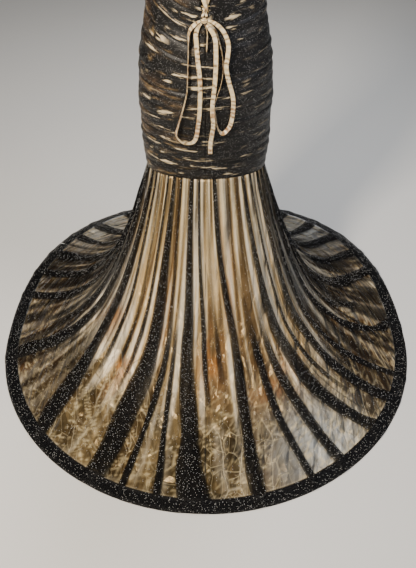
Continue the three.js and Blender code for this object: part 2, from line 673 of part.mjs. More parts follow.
const sheath = section();
const sideBack = (height) => 90 - sideAngle(height);
const sideFront = (height) => 90 + sideAngle(height);
const middleFront = (height) => 180 - sideAngle(height);
const leftwards = (edge) => (height) => -edge(height);
const leftPanel = (from, to) => sheathPanel(SHEATH_COLUMNS, leftwards(from), leftwards(to));
piece(sheath, 'sheath_back_right', sheathPanel(SHEATH_COLUMNS, openingAngle, sideBack), 'ruched');
piece(sheath, 'sheath_back_left', leftPanel(sideBack, openingAngle), 'ruched');
piece(sheath, 'sheath_front_right', sheathPanel(SHEATH_COLUMNS, sideFront, middleFront), 'ruched');
piece(sheath, 'sheath_front_left', leftPanel(middleFront, sideFront), 'ruched');

const skirt = section();
piece(skirt, 'skirt_back_left', satinGore(-90, 0), 'satin');
piece(skirt, 'skirt_back_right', satinGore(0, 90), 'satin');
piece(skirt, 'skirt_front_right', satinGore(90, 180), 'satin');
piece(skirt, 'skirt_front_left', satinGore(-180, -90), 'satin');

const overlay = section();
OVERLAY_PANELS.forEach(({ name, after }, i) => {
  const next = OVERLAY_PANELS[i + 1]?.after ?? OVERLAY_PANELS[0].after + FOLDS.length;
  piece(overlay, name, overlayPanel(after, next), 'tulle');
});

const laces = section();
LACE_ROWS.forEach((height, i) => {
  piece(laces, `lace_loop_left_${i + 1}`, cordLoop(height, -1), 'ribbon');
  piece(laces, `lace_loop_right_${i + 1}`, cordLoop(height, 1), 'ribbon');
});
piece(laces, 'lacing', lacing(), 'ribbon');

const bow = section();
piece(bow, 'bow_knot', knot(), 'ribbon');
piece(bow, 'bow_loop_left', bowRibbon(LOOP_LEFT, 2), 'ribbon');
piece(bow, 'bow_loop_right', bowRibbon(LOOP_RIGHT, 2), 'ribbon');
piece(bow, 'bow_tail_long', bowRibbon(TAIL_LONG, 1), 'ribbon');
piece(bow, 'bow_tail_short', bowRibbon(TAIL_SHORT, 1), 'ribbon');

export default dress;
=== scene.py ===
import math

import bpy
import numpy as np
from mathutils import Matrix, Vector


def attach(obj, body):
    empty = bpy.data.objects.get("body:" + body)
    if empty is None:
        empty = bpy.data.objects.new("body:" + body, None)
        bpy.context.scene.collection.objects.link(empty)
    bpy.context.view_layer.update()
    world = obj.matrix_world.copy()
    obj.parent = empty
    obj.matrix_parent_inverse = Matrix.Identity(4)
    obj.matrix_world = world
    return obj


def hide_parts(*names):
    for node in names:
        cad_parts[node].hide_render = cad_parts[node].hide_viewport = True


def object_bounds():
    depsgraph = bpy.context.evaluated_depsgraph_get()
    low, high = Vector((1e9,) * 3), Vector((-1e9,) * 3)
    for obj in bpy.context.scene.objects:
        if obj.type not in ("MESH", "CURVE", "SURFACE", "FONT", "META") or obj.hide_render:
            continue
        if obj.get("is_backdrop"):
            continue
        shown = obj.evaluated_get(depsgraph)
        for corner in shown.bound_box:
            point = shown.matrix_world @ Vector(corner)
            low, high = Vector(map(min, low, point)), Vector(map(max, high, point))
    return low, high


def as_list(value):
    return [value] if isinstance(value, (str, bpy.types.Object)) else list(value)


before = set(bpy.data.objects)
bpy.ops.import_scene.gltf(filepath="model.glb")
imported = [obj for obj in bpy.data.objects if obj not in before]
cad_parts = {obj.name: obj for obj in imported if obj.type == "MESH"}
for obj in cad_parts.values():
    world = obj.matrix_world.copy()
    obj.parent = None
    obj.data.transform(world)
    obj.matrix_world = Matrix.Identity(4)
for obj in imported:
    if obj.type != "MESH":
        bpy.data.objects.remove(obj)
cad_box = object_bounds()

WAIST_HEIGHT = 1140
SEAM_HEIGHT = 640
SEAM_DIP = 12
SEWN_GAP = 0.4
SHEATH_THICK = 2
SATIN_THICK = 1.2
RIBBON_WIDTH = 12
CLOTH_THICK = 0.5
BACK = np.array([0.0, -1.0, 0.0])

# The photograph's view, in metres and degrees
EYE = (0.0065, -1.9, 0.749)
EYE_TILT, LENS, SENSOR = 47.11, 45.89, 36
# Each soft light's place, what it faces, its size in metres, power and colour
LIGHTS = [
    ("key", (-1.2, -1.9, 1.3), (0, -0.2, -0.7), 0.45, 128, "fff1dd"),
    ("fill", (2.1, -1.2, 1.3), (0, -0.2, -0.6), 1.2, 34, "f2f4ff"),
    ("rim", (0.6, 1.7, 1.6), (0, -0.3, -0.8), 0.9, 50, "ffffff"),
]
STUDIO_GREY, STUDIO_STRENGTH = "c9ccd2", 0.16
FLOOR_SIZE, FLOOR_DROP = 14, 0.0005


# Camera and light


def linear(code):
    """A colour such as "c8ad80" in linear light."""
    parts = [int(code[i : i + 2], 16) / 255 for i in (0, 2, 4)]
    return [c / 12.92 if c <= 0.04045 else ((c + 0.055) / 1.055) ** 2.4 for c in parts]


def camera():
    """The photograph's view: from behind and above, at the height of a tall adult's eyes."""
    data = bpy.data.cameras.new("camera")
    data.lens = LENS
    data.sensor_width = SENSOR
    eye = bpy.data.objects.new("camera", data)
    eye.location = EYE
    eye.rotation_euler = (math.radians(EYE_TILT), 0, 0)
    bpy.context.collection.objects.link(eye)
    bpy.context.scene.camera = eye


def area_light(name, at, towards, size, power, colour):
    """A square light that faces a place."""
    data = bpy.data.lights.new(name, "AREA")
    data.size = size
    data.energy = power
    data.color = linear(colour)
    lamp = bpy.data.objects.new(name, data)
    lamp.location = at
    run = np.array(towards) - np.array(at)
    lean = math.acos(-run[2] / np.linalg.norm(run))
    lamp.rotation_euler = (lean, 0, math.atan2(-run[0], run[1]))
    bpy.context.collection.objects.link(lamp)


camera()
for light in LIGHTS:
    area_light(*light)


# Surfaces of the CAD source, for arrays of places

# The sheath's sections by height: half width, and depth behind and in front of the side seams
SECTION_HEIGHT = [620, 652, 700, 800, 860, 930, 1016, 1089, 1142, 1190, 1250, 1330, 1430]
SECTION_HALF = [180, 180, 185, 187, 188, 186, 177, 164, 155, 150, 152, 163, 160]
SECTION_BACK = [110, 110, 113, 121, 128, 134, 125, 109, 100, 97, 97, 98, 95]
SECTION_FRONT = [112, 112, 112, 114, 115, 115, 115, 115, 115, 116, 120, 132, 124]
# The top edge's height, by degrees from the centre front, and the cups under it
TOP_EDGE = ([0, 28, 60, 95, 180], [1383, 1424, 1398, 1368, 1350])
CUP_ASIDE, CUP_WIDE, CUP_HEIGHT, CUP_TALL, CUP_DEPTH = 28, 22, 1325, 62, 20
# How far the rows of ruching climb at the side seams, by share of the way up
RUCHE_ROWS = 48
RUCHE_CLIMB_AT = [0, 0.12, 0.3, 0.45, 0.65, 0.85, 1]
RUCHE_CLIMB_LEFT = [0, 22, 6, 16, 78, 52, 0]
RUCHE_CLIMB_RIGHT = [0, 8, 10, 12, 20, 16, 0]
# The laced opening's foot, and how much each side opens for each millimetre above it
V_FOOT, V_SPREAD = 1110, 0.2
# The hem's half width and its reach behind and in front of a middle that lies behind the waist
HEM_HALF, HEM_BACK, HEM_FRONT, HEM_MIDDLE = 660, 660, 690, -130
# How square and how high the hem is in front, and how fast the skirt flares
HEM_FRONT_SQUARE, HEM_FRONT_LIFT, FLARE = 2.6, 60, 3.3
# How the net runs out past the hem, and the skirt's broad waves
TULLE_BEYOND, TULLE_DROOP = 680, 5
SATIN_WAVES, SATIN_WAVE = 15, 5


def curve(at, places, values):
    """A smooth curve through a table's values, at any places."""
    x, y = np.array(places, float), np.array(values, float)
    k = np.arange(len(x))
    before, after = np.maximum(k - 1, 0), np.minimum(k + 1, len(x) - 1)
    slope = (y[after] - y[before]) / (x[after] - x[before])
    at = np.clip(at, x[0], x[-1])
    i = np.clip(np.searchsorted(x, at, side="right") - 1, 0, len(x) - 2)
    span = x[i + 1] - x[i]
    u = (at - x[i]) / span
    start = (2 * u - 3) * u * u + 1
    bend = ((u - 2) * u + 1) * u * span * slope[i] + (u - 1) * u * u * span * slope[i + 1]
    return start * y[i] + (1 - start) * y[i + 1] + bend


def smooth(at, low, high):
    """0 below a range, 1 above it, and a soft rise between."""
    u = np.clip((at - low) / (high - low), 0, 1)
    return u * u * (3 - 2 * u)


def lerp(a, b, share):
    """A value a share of the way from one to another."""
    return a + (b - a) * share


def unit(vectors):
    """Vectors made one long."""
    return vectors / np.linalg.norm(vectors, axis=-1, keepdims=True)


def stack(x, y, z):
    """Points from grids of their coordinates."""
    return np.stack(np.broadcast_arrays(x, y, z), axis=-1)


LATTICE = 128


def wander(u, v, seed):
    """Smooth random values from -1 to 1 on a grid of unit cells. Each use has a seed of its own,
    and a number added to a coordinate only moves the pattern along."""
    lattice = np.random.default_rng(seed).uniform(-1, 1, (LATTICE, LATTICE))
    i, j = np.floor(u).astype(int), np.floor(v).astype(int)
    a, b = u - i, v - j
    a, b = a * a * (3 - 2 * a), b * b * (3 - 2 * b)
    left, right = i % LATTICE, (i + 1) % LATTICE
    below, above = j % LATTICE, (j + 1) % LATTICE
    low = lerp(lattice[left, below], lattice[right, below], a)
    return lerp(low, lerp(lattice[left, above], lattice[right, above], a), b)


def ridge(u, v, seed, narrow):
    """1 along random lines and 0 away from them."""
    return np.clip(1 - np.abs(wander(u, v, seed)) * narrow, 0, 1)


def seam_height(angle):
    return SEAM_HEIGHT + SEAM_DIP * np.cos(np.radians(angle))


def top_height(angle):
    return curve(180 - np.abs(angle), *TOP_EDGE)


def cup_depth(angle, height):
    """How far a cup swells out."""
    aside = (180 - np.abs(angle) - CUP_ASIDE) / CUP_WIDE
    above = (height - CUP_HEIGHT) / CUP_TALL
    return CUP_DEPTH * np.exp(-aside * aside - above * above)


def sheath_point(angle, height, out):
    """A place on the sheath's inside, moved out square to it."""
    sin, cos = np.sin(np.radians(angle)), np.cos(np.radians(angle))
    half = curve(height, SECTION_HEIGHT, SECTION_HALF)
    behind_it = curve(height, SECTION_HEIGHT, SECTION_BACK)
    depth = np.where(cos > 0, behind_it, curve(height, SECTION_HEIGHT, SECTION_FRONT))
    normal = unit(stack(sin / half, -cos / depth, 0))
    surface = stack(half * sin, -depth * cos, height - WAIST_HEIGHT)
    return surface + normal * np.expand_dims(out + cup_depth(angle, height), -1)


def skirt_inside(angle, share):
    """A place on the skirt's inside. Past a share of 1 it runs out level beyond the satin's hem."""
    sin, cos = np.sin(np.radians(angle)), np.cos(np.radians(angle))
    seam = sheath_point(angle, seam_height(angle), 0.0)
    power = np.where(cos > 0, 1, 2 / HEM_FRONT_SQUARE)
    lift = HEM_FRONT_LIFT * np.clip((np.abs(angle) - 100) / 80, 0, 1)
    across = HEM_HALF * np.sign(sin) * np.abs(sin) ** power
    along = HEM_MIDDLE - np.where(cos > 0, HEM_BACK, HEM_FRONT) * np.sign(cos) * np.abs(cos) ** power
    hem = stack(across, along, lift - WAIST_HEIGHT)
    fall = (np.exp(-FLARE * share) - math.exp(-FLARE)) / (1 - math.exp(-FLARE))
    within = np.expand_dims(np.minimum(share, 1), -1)
    point = lerp(seam, hem, within)
    point[..., 2] = lerp(hem[..., 2], seam[..., 2], np.maximum(fall, 0))
    level = (hem - seam) * [1, 1, 0]
    beyond = np.maximum(share - 1, 0)
    point = point + unit(level) * np.expand_dims(TULLE_BEYOND * beyond, -1)
    low = lift * (1 - TULLE_DROOP * beyond) - WAIST_HEIGHT
    point[..., 2] = np.where(share > 1, low, point[..., 2])
    return point


def skirt_point(angle, share, out):
    """A place on the skirt's inside, moved out square to it."""
    down = np.minimum(share, 0.99)
    around = skirt_inside(angle + 0.5, down) - skirt_inside(angle - 0.5, down)
    along = skirt_inside(angle, down + 0.01) - skirt_inside(angle, np.maximum(down, 0.001))
    normal = unit(np.cross(along, around))
    normal[..., 2] *= smooth(share, 0, 0.04)
    return skirt_inside(angle, share) + unit(normal) * np.expand_dims(out, -1)


def satin_wave(angle, share):
    """How far the skirt's broad waves stand out."""
    turn = np.radians(angle)
    wave = 0.5 - 0.5 * np.cos(SATIN_WAVES * turn + 0.8 * np.sin(2 * turn + 0.6))
    return SATIN_WAVE * wave * smooth(share, 0, 0.18) * (1 - 0.5 * smooth(share, 0.7, 1))


# Meshes and materials


def new_piece(name, points, faces):
    """A smooth mesh from points in millimetres, on an object at the origin."""
    mesh = bpy.data.meshes.new(name)
    mesh.from_pydata((points / 1000).tolist(), [], faces)
    mesh.shade_smooth()
    piece = bpy.data.objects.new(name, mesh)
    bpy.context.collection.objects.link(piece)
    return piece


def paint(piece, mark, values):
    """A number or a colour for each point of a mesh, which its material reads by name."""
    attributes = piece.data.attributes
    if values.shape[1] == 1:
        attributes.new(mark, "FLOAT", "POINT").data.foreach_set("value", values.ravel())
        return
    solid = np.hstack([values, np.ones((len(values), 1))])
    attributes.new(mark, "FLOAT_COLOR", "POINT").data.foreach_set("color", solid.ravel())


def stack4(a, b, c, d):
    """Four-sided faces from four grids of point numbers."""
    return np.stack([a, b, c, d], axis=-1).reshape(-1, 4)


def shell(name, outer, inner, marks):
    """A closed thin sheet between two grids of points in millimetres. Marks are grids of values."""
    rows, columns = outer.shape[:2]
    under = rows * columns
    points = np.concatenate([outer.reshape(-1, 3), inner.reshape(-1, 3)])
    number = np.arange(under).reshape(rows, columns)
    quads = stack4(number[:-1, :-1], number[:-1, 1:], number[1:, 1:], number[1:, :-1])
    rim = np.concatenate([number[0], number[1:, -1], number[-1, -2::-1], number[-2:0:-1, 0]])
    after = np.roll(rim, -1)
    sides = stack4(after, rim, rim + under, after + under)
    faces = np.concatenate([quads, quads[:, ::-1] + under, sides])
    corners = points[faces]
    square = np.cross(corners[:, 2] - corners[:, 0], corners[:, 3] - corners[:, 1])
    if (corners.mean(axis=1) * square).sum() < 0:
        faces = faces[:, ::-1]
    piece = new_piece(name, points, faces.tolist())
    for mark, values in marks.items():
        grid = np.broadcast_to(values, outer.shape[:2] + np.shape(values)[2:])
        paint(piece, mark, np.concatenate([grid.reshape(under, -1)] * 2))
    return piece


def add(tree, kind, inputs, **settings):
    """A node with its settings, and its inputs as values or as the sockets that feed them."""
    made = tree.nodes.new(kind)
    for key, value in settings.items():
        setattr(made, key, value)
    for key, value in inputs.items():
        if isinstance(value, bpy.types.NodeSocket):
            tree.links.new(value, made.inputs[key])
        else:
            made.inputs[key].default_value = value
    return made


def material(name):
    """A new material, its tree, its shader and the object coordinates in metres."""
    made = bpy.data.materials.new(name)
    made.use_nodes = True
    tree = made.node_tree
    shader = tree.nodes["Principled BSDF"]
    place = add(tree, "ShaderNodeTexCoord", {}).outputs["Object"]
    return made, tree, shader, place


def settle(shader, constants):
    """Sets what is the same all over a surface on the shader's own sockets."""
    for key, value in constants.items():
        shader.inputs[key].default_value = value


def rgba(code):
    """A colour code as a node takes it."""
    return linear(code) + [1]


def per_metre(millimetres):
    """A texture's scale, from the size of its cells."""
    return 1000 / millimetres


# Sizes of the patterns, in millimetres
BROAD_CREASES, FINE_CREASES, SHARP_CREASES, CREASE_BEND = 96, 44, 34, 150
SATIN_CLOUDS, SATIN_DENTS = 38, 9
NET_CLOUDS, RIBBON_DENTS, FLECK_TONES, FLOOR_CLOUDS = 24, 5, 6, 900
# Real net has holes of about 1 mm, and the threads of drawn net and the slivers between them are
# finer still. They are drawn this coarse so that they show.
NET_HOLES, DRAWN_THREADS, BARE_SLIVERS = 2.2, 3, 8
# How strongly the painted highlights and painted shade along a crease net's lines show in the colour
LINE_STRENGTH = 0.65


def crease_net(tree, cut, stretch, turn, millimetres, width):
    """Crooked creases on the cut cloth: the distance from them, their lines, and each facet's tilt."""
    bends = {"Vector": cut, "Scale": per_metre(CREASE_BEND), "Detail": 2}
    bent = add(tree, "ShaderNodeTexNoise", bends).outputs["Color"]
    moves = {0: bent, 1: (0.05, 0.05, 0), 2: cut}
    moved = add(tree, "ShaderNodeVectorMath", moves, operation="MULTIPLY_ADD").outputs["Vector"]
    turns = {"Vector": moved, "Rotation": (0, 0, math.radians(turn)), "Scale": stretch}
    turned = add(tree, "ShaderNodeMapping", turns).outputs["Vector"]
    cells = {"Vector": turned, "Scale": per_metre(millimetres)}
    edges = add(tree, "ShaderNodeTexVoronoi", cells, feature="DISTANCE_TO_EDGE").outputs["Distance"]
    tilts = add(tree, "ShaderNodeTexVoronoi", cells, feature="F1").outputs["Color"]
    near = {"Value": edges, "From Max": width, "To Min": LINE_STRENGTH, "To Max": 0}
    lines = add(tree, "ShaderNodeMapRange", near).outputs["Result"]
    return edges, lines, tilts


def facet_tones(tree, colour, tilts, crush, darkest, palest):
    """A colour made darker or paler on each facet of crushed cloth, as its tilt to the light does."""
    tones = {"Value": tilts, "From Min": 0.15, "From Max": 0.85}
    tones.update({"To Min": darkest - 1, "To Max": palest - 1})
    tone = add(tree, "ShaderNodeMapRange", tones).outputs["Result"]
    weighed = add(tree, "ShaderNodeMath", {0: tone, 1: crush, 2: 1.0}, operation="MULTIPLY_ADD")
    scales = {0: colour, "Scale": weighed.outputs[0]}
    return add(tree, "ShaderNodeVectorMath", scales, operation="SCALE").outputs["Vector"]


def painted_crease_lines(tree, colour, lines, crush, cloud, code):
    """A colour with a net's lines painted over it, pale lines as painted highlights and dark lines as
    painted shade along the creases, where the cloth is crushed and a cloud lets them.
    """
    crushed = add(tree, "ShaderNodeMath", {0: lines, 1: crush}, operation="MULTIPLY").outputs[0]
    shown = add(tree, "ShaderNodeMath", {0: crushed, 1: cloud}, operation="MULTIPLY").outputs[0]
    return add(tree, "ShaderNodeMix", {0: shown, 6: colour, 7: rgba(code)}, data_type="RGBA").outputs[2]


def satin_material():
    """Creased polyester satin: a warm sheen that breaks up along sharp crushed creases, with painted shade
    and painted highlights on its facets and along its crease lines.
    """
    made, tree, shader, place = material("champagne_satin")
    colour_and_painted_light = add(tree, "ShaderNodeAttribute", {}, attribute_name="colour_and_painted_light").outputs["Color"]
    crush = add(tree, "ShaderNodeAttribute", {}, attribute_name="crush").outputs["Fac"]
    cut = add(tree, "ShaderNodeAttribute", {}, attribute_name="cut").outputs["Vector"]
    clouds = {"Vector": place, "Scale": per_metre(SATIN_CLOUDS), "Detail": 4}
    cloud = add(tree, "ShaderNodeTexNoise", clouds).outputs["Fac"]
    dents = {"Vector": place, "Scale": per_metre(SATIN_DENTS), "Detail": 3}
    dent = add(tree, "ShaderNodeTexNoise", dents).outputs["Fac"]
    patchy = add(tree, "ShaderNodeMapRange", {"Value": cloud, "From Min": 0.38, "From Max": 0.62})
    broad_edges, broad_lines, broad_tilts = crease_net(tree, cut, (1, 0.35, 1), 10, BROAD_CREASES, 0.022)
    fine_edges, fine_lines, fine_tilts = crease_net(tree, cut, (1, 0.4, 1), 62, FINE_CREASES, 0.035)
    sharp_edges, sharp_lines, sharp_tilts = crease_net(tree, cut, (1, 0.45, 1), -38, SHARP_CREASES, 0.03)
    worn = {0: cloud, 6: colour_and_painted_light, 7: rgba("d9cdb2")}
    colour = add(tree, "ShaderNodeMix", worn, data_type="RGBA", blend_type="MULTIPLY").outputs[2]
    colour = facet_tones(tree, colour, broad_tilts, crush, 0.72, 1.3)
    colour = facet_tones(tree, colour, fine_tilts, crush, 0.62, 1.4)
    # Dark lines of painted shade along the fine creases
    colour = painted_crease_lines(tree, colour, fine_lines, crush, patchy.outputs["Result"], "33260f")
    colour = facet_tones(tree, colour, sharp_tilts, crush, 0.72, 1.3)
    # Pale lines of painted highlight along the sharp and the broad creases
    colour = painted_crease_lines(tree, colour, sharp_lines, crush, cloud, "e9d9ae")
    colour = painted_crease_lines(tree, colour, broad_lines, crush, cloud, "f4e6c2")
    tree.links.new(colour, shader.inputs["Base Color"])
    rough = add(tree, "ShaderNodeMapRange", {"Value": cloud, "To Min": 0.2, "To Max": 0.4})
    tree.links.new(rough.outputs["Result"], shader.inputs["Roughness"])
    normal = None
    reliefs = [(dent, 0.3, 0.0016), (sharp_edges, 1, 0.01), (fine_edges, 1, 0.016), (broad_edges, 1, 0.034)]
    for height, strength, distance in reliefs:
        relief = {"Height": height, "Strength": strength, "Distance": distance}
        if normal:
            relief["Normal"] = normal
        normal = add(tree, "ShaderNodeBump", relief).outputs["Normal"]
    tree.links.new(normal, shader.inputs["Normal"])
    settle(shader, {"Specular IOR Level": 0.6, "Specular Tint": rgba("ffe0ac")})
    settle(shader, {"Sheen Weight": 0.2, "Sheen Roughness": 0.4})
    return made


def tulle_material():
    """Fine black net: sheer in one layer, and dark where a fold lays many over each other."""
    made, tree, shader, place = material("black_tulle")
    ply = add(tree, "ShaderNodeAttribute", {}, attribute_name="ply").outputs["Fac"]
    holes = {"Vector": place, "Scale": per_metre(NET_HOLES)}
    net = add(tree, "ShaderNodeTexVoronoi", holes, feature="DISTANCE_TO_EDGE").outputs["Distance"]
    threads = {"Value": net, "From Max": 0.22, "To Min": 1.3, "To Max": 0.72}
    thread = add(tree, "ShaderNodeMapRange", threads).outputs["Result"]
    alpha = add(tree, "ShaderNodeMath", {0: ply, 1: thread}, operation="MULTIPLY", use_clamp=True)
    tree.links.new(alpha.outputs[0], shader.inputs["Alpha"])
    clouds = {"Vector": place, "Scale": per_metre(NET_CLOUDS), "Detail": 3}
    cloud = add(tree, "ShaderNodeTexNoise", clouds).outputs["Fac"]
    tones = {0: cloud, 6: rgba("030304"), 7: rgba("0f0f11")}
    colour = add(tree, "ShaderNodeMix", tones, data_type="RGBA").outputs[2]
    tree.links.new(colour, shader.inputs["Base Color"])
    settle(shader, {"Roughness": 0.62, "Specular IOR Level": 0.1})
    return made


def ruched_material():
    """Glitter tulle drawn tight in gathers over satin, which shows through where a crest is one layer deep,
    with pale streaks of painted highlight on the crests.
    """
    made, tree, shader, place = material("ruched_tulle")
    colour_and_painted_light = add(tree, "ShaderNodeAttribute", {}, attribute_name="colour_and_painted_light").outputs["Color"]
    cut = add(tree, "ShaderNodeAttribute", {}, attribute_name="cut").outputs["Vector"]
    shine = add(tree, "ShaderNodeAttribute", {}, attribute_name="shine").outputs["Fac"]
    grains = {"Vector": place, "Scale": per_metre(DRAWN_THREADS), "Detail": 3}
    grain = add(tree, "ShaderNodeTexNoise", grains).outputs["Fac"]
    drawn = add(tree, "ShaderNodeMapping", {"Vector": cut, "Scale": (0.2, 1, 1)}).outputs["Vector"]
    threads = {"Vector": drawn, "Scale": per_metre(DRAWN_THREADS), "Detail": 3}
    thread = add(tree, "ShaderNodeTexNoise", threads).outputs["Fac"]
    lines = {"Value": thread, "From Min": 0.4, "From Max": 0.62, "To Min": 0.25, "To Max": 1.6}
    line = add(tree, "ShaderNodeMapRange", lines).outputs["Result"]
    tone = add(tree, "ShaderNodeVectorMath", {0: colour_and_painted_light, "Scale": line}, operation="SCALE")
    slivers = {"Vector": drawn, "Scale": per_metre(BARE_SLIVERS), "Detail": 5}
    sliver = add(tree, "ShaderNodeTexNoise", slivers).outputs["Fac"]
    thin = add(tree, "ShaderNodeMapRange", {"Value": sliver, "From Min": 0.52, "From Max": 0.58})
    # Pale streaks of painted highlight on the crests, where the satin shows through the net
    bare = add(tree, "ShaderNodeMath", {0: thin.outputs["Result"], 1: shine}, operation="MULTIPLY")
    glows = {0: bare.outputs[0], 6: tone.outputs["Vector"], 7: rgba("f6e4bf")}
    colour = add(tree, "ShaderNodeMix", glows, data_type="RGBA").outputs[2]
    worn = {0: grain, 6: colour, 7: rgba("a8a39a")}
    colour = add(tree, "ShaderNodeMix", worn, data_type="RGBA", blend_type="MULTIPLY").outputs[2]
    tree.links.new(colour, shader.inputs["Base Color"])
    bump = add(tree, "ShaderNodeBump", {"Height": grain, "Strength": 0.4, "Distance": 0.001})
    tree.links.new(bump.outputs["Normal"], shader.inputs["Normal"])
    settle(shader, {"Roughness": 0.5, "Specular IOR Level": 0.35})
    return made


def ribbon_material():
    """Double-faced satin ribbon, pale, with painted shade in its cross creases and painted highlights on
    their ridges.
    """
    made, tree, shader, place = material("champagne_ribbon")
    colour_and_painted_light = add(tree, "ShaderNodeAttribute", {}, attribute_name="colour_and_painted_light").outputs["Color"]
    dents = {"Vector": place, "Scale": per_metre(RIBBON_DENTS), "Detail": 2}
    dent = add(tree, "ShaderNodeTexNoise", dents).outputs["Fac"]
    worn = {0: dent, 6: colour_and_painted_light, 7: rgba("d8c7a2")}
    colour = add(tree, "ShaderNodeMix", worn, data_type="RGBA", blend_type="MULTIPLY").outputs[2]
    tree.links.new(colour, shader.inputs["Base Color"])
    settle(shader, {"Roughness": 0.34, "Specular IOR Level": 0.6})
    return made


def clouded_material(name, millimetres, detail, codes, roughness):
    """A plain finish whose colour drifts between two tones."""
    made, tree, shader, place = material(name)
    clouds = {"Vector": place, "Scale": per_metre(millimetres), "Detail": detail}
    cloud = add(tree, "ShaderNodeTexNoise", clouds).outputs["Fac"]
    tones = {0: cloud, 6: rgba(codes[0]), 7: rgba(codes[1])}
    colour = add(tree, "ShaderNodeMix", tones, data_type="RGBA").outputs[2]
    tree.links.new(colour, shader.inputs["Base Color"])
    settle(shader, {"Roughness": roughness})
    return made


SATIN = satin_material()
TULLE = tulle_material()
RUCHED = ruched_material()
RIBBON = ribbon_material()
# Glitter dots bonded to the net, which catch the light as white specks
FLECKS = clouded_material("glitter_flecks", FLECK_TONES, 1, ("b9b9b6", "ffffff"), 0.25)
# A plain pale floor with the faintest unevenness
FLOOR = clouded_material("floor", FLOOR_CLOUDS, 2, ("d6d6d4", "dcdcda"), 0.8)


def declare(piece, finish, slot, *nodes):
    """Gives a piece its finish, puts it under its body, and hides the solids it replaces. Its slot is not
    used.
    """
    piece.data.materials.append(finish)
    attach(piece, "root")
    if nodes:
        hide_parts(*nodes)


# Each cloth's colour is laid in layers: its own tones together with painted highlights and painted shade
def layered_colours(weights, base):
    """Colours by layers: each layer is a colour code and how much of it covers what is under it."""
    colour = np.array(linear(base))
    for code, weight in weights:
        share = np.expand_dims(np.clip(weight, 0, 1), -1)
        colour = lerp(colour, np.array(linear(code)), share)
    return colour


# Sheath


# How finely a sheath panel is divided, and how far its gathers swell out, in millimetres
ROWS_IN_RUCHE, SHEATH_COLUMNS = 5, 70
SWELL_LEAST, SWELL_MOST, SHEATH_CLOTH = 1.2, 4.0, 1.2
# The cut net in metres: its reach from the centre back, as a radius, and its rows' distance
CUT_RADIUS, CUT_ROW = 0.15, 0.016


def ruche_share(row):
    """How far up the sheath a row of ruching lies, with the rows unevenly apart."""
    share = row / RUCHE_ROWS
    return share + 0.25 / RUCHE_ROWS * np.sin(2.1 * row) * np.sin(np.pi * share)


def ruche_height(row, angle):
    """A row's height, climbing towards the side seams."""
    share = ruche_share(row)
    left = curve(share, RUCHE_CLIMB_AT, RUCHE_CLIMB_LEFT)
    climb = np.where(angle < 0, left, curve(share, RUCHE_CLIMB_AT, RUCHE_CLIMB_RIGHT))
    low = seam_height(angle) + SEWN_GAP / 2
    return lerp(low, top_height(angle), share) + climb * np.sin(np.radians(angle)) ** 2


def opening_angle(height):
    """Where the edge of the laced opening lies."""
    half = curve(height, SECTION_HEIGHT, SECTION_HALF)
    opening = SEWN_GAP / 2 + V_SPREAD * np.maximum(0, height - V_FOOT)
    return np.degrees(np.arcsin(opening / half))


def sheath_panel(name, from_angle, to_angle, turned):
    """A panel of ruched net between two seams, on the right or turned over to the left."""
    row = np.linspace(0, RUCHE_ROWS, RUCHE_ROWS * ROWS_IN_RUCHE + 1)[:, None]
    share = np.linspace(0, 1, SHEATH_COLUMNS + 1)[None, :]
    angle = lerp(from_angle(SEAM_HEIGHT), to_angle(SEAM_HEIGHT), share) + 0 * row
    # A row's height and its end at the seam depend on each other, and settle in three rounds
    for _ in range(3):
        height = ruche_height(row, angle * turned)
        angle = lerp(from_angle(height), to_angle(height), share)
    angle = angle * turned
    height = ruche_height(row, angle)
    crest = 2 * np.floor(row / 2) + 1
    strength = 0.5 + 0.5 * np.sin(np.radians(2.2 * angle) + 2.4 * crest)
    swell = np.abs(np.sin(np.pi * row / 2)) ** 0.75
    ends = smooth(row, 0, 1) * (1 - smooth(row, RUCHE_ROWS - 2, RUCHE_ROWS - 1))
    fine = 0.9 * wander(angle / 9 + 50, row * 1.3 + 9, 11) + 0.5 * wander(angle / 5 + 50, row * 2.7, 12)
    out = SHEATH_THICK + ends * (swell * lerp(SWELL_LEAST, SWELL_MOST, strength) + fine * swell)
    outer = sheath_point(angle, height, out)
    inner = sheath_point(angle, height, np.minimum(out, SHEATH_THICK) - SHEATH_CLOTH)
    marks = {"colour_and_painted_light": ruched_colour_and_light(row, angle, strength, swell, fine)}
    marks["shine"] = ruched_shine(row, angle)
    marks["cut"] = stack(np.radians(angle) * CUT_RADIUS, row * CUT_ROW, 0)
    return shell(name, outer, inner, marks)


def ruched_shine(row, angle):
    """Where the satin under the net shows along the crests with painted highlights, most beside the lacing
    and on the left.
    """
    crest = np.sin(np.pi * (row / 2 + 0.12 * wander(angle / 7 + 50, row / 2, 25)))
    thin = smooth(np.abs(crest), 0.8, 0.97)
    patches = smooth(wander(angle / 12 + 40, row * 0.55 + 3, 22), -0.2, 0.4)
    near = np.exp(-((np.abs(angle) - 14) / 20) ** 2)
    left = smooth(-angle, 0, 30) * (1 - smooth(-angle, 60, 100))
    return np.clip(thin * patches * (0.3 + 0.9 * near + 0.7 * left), 0, 1)


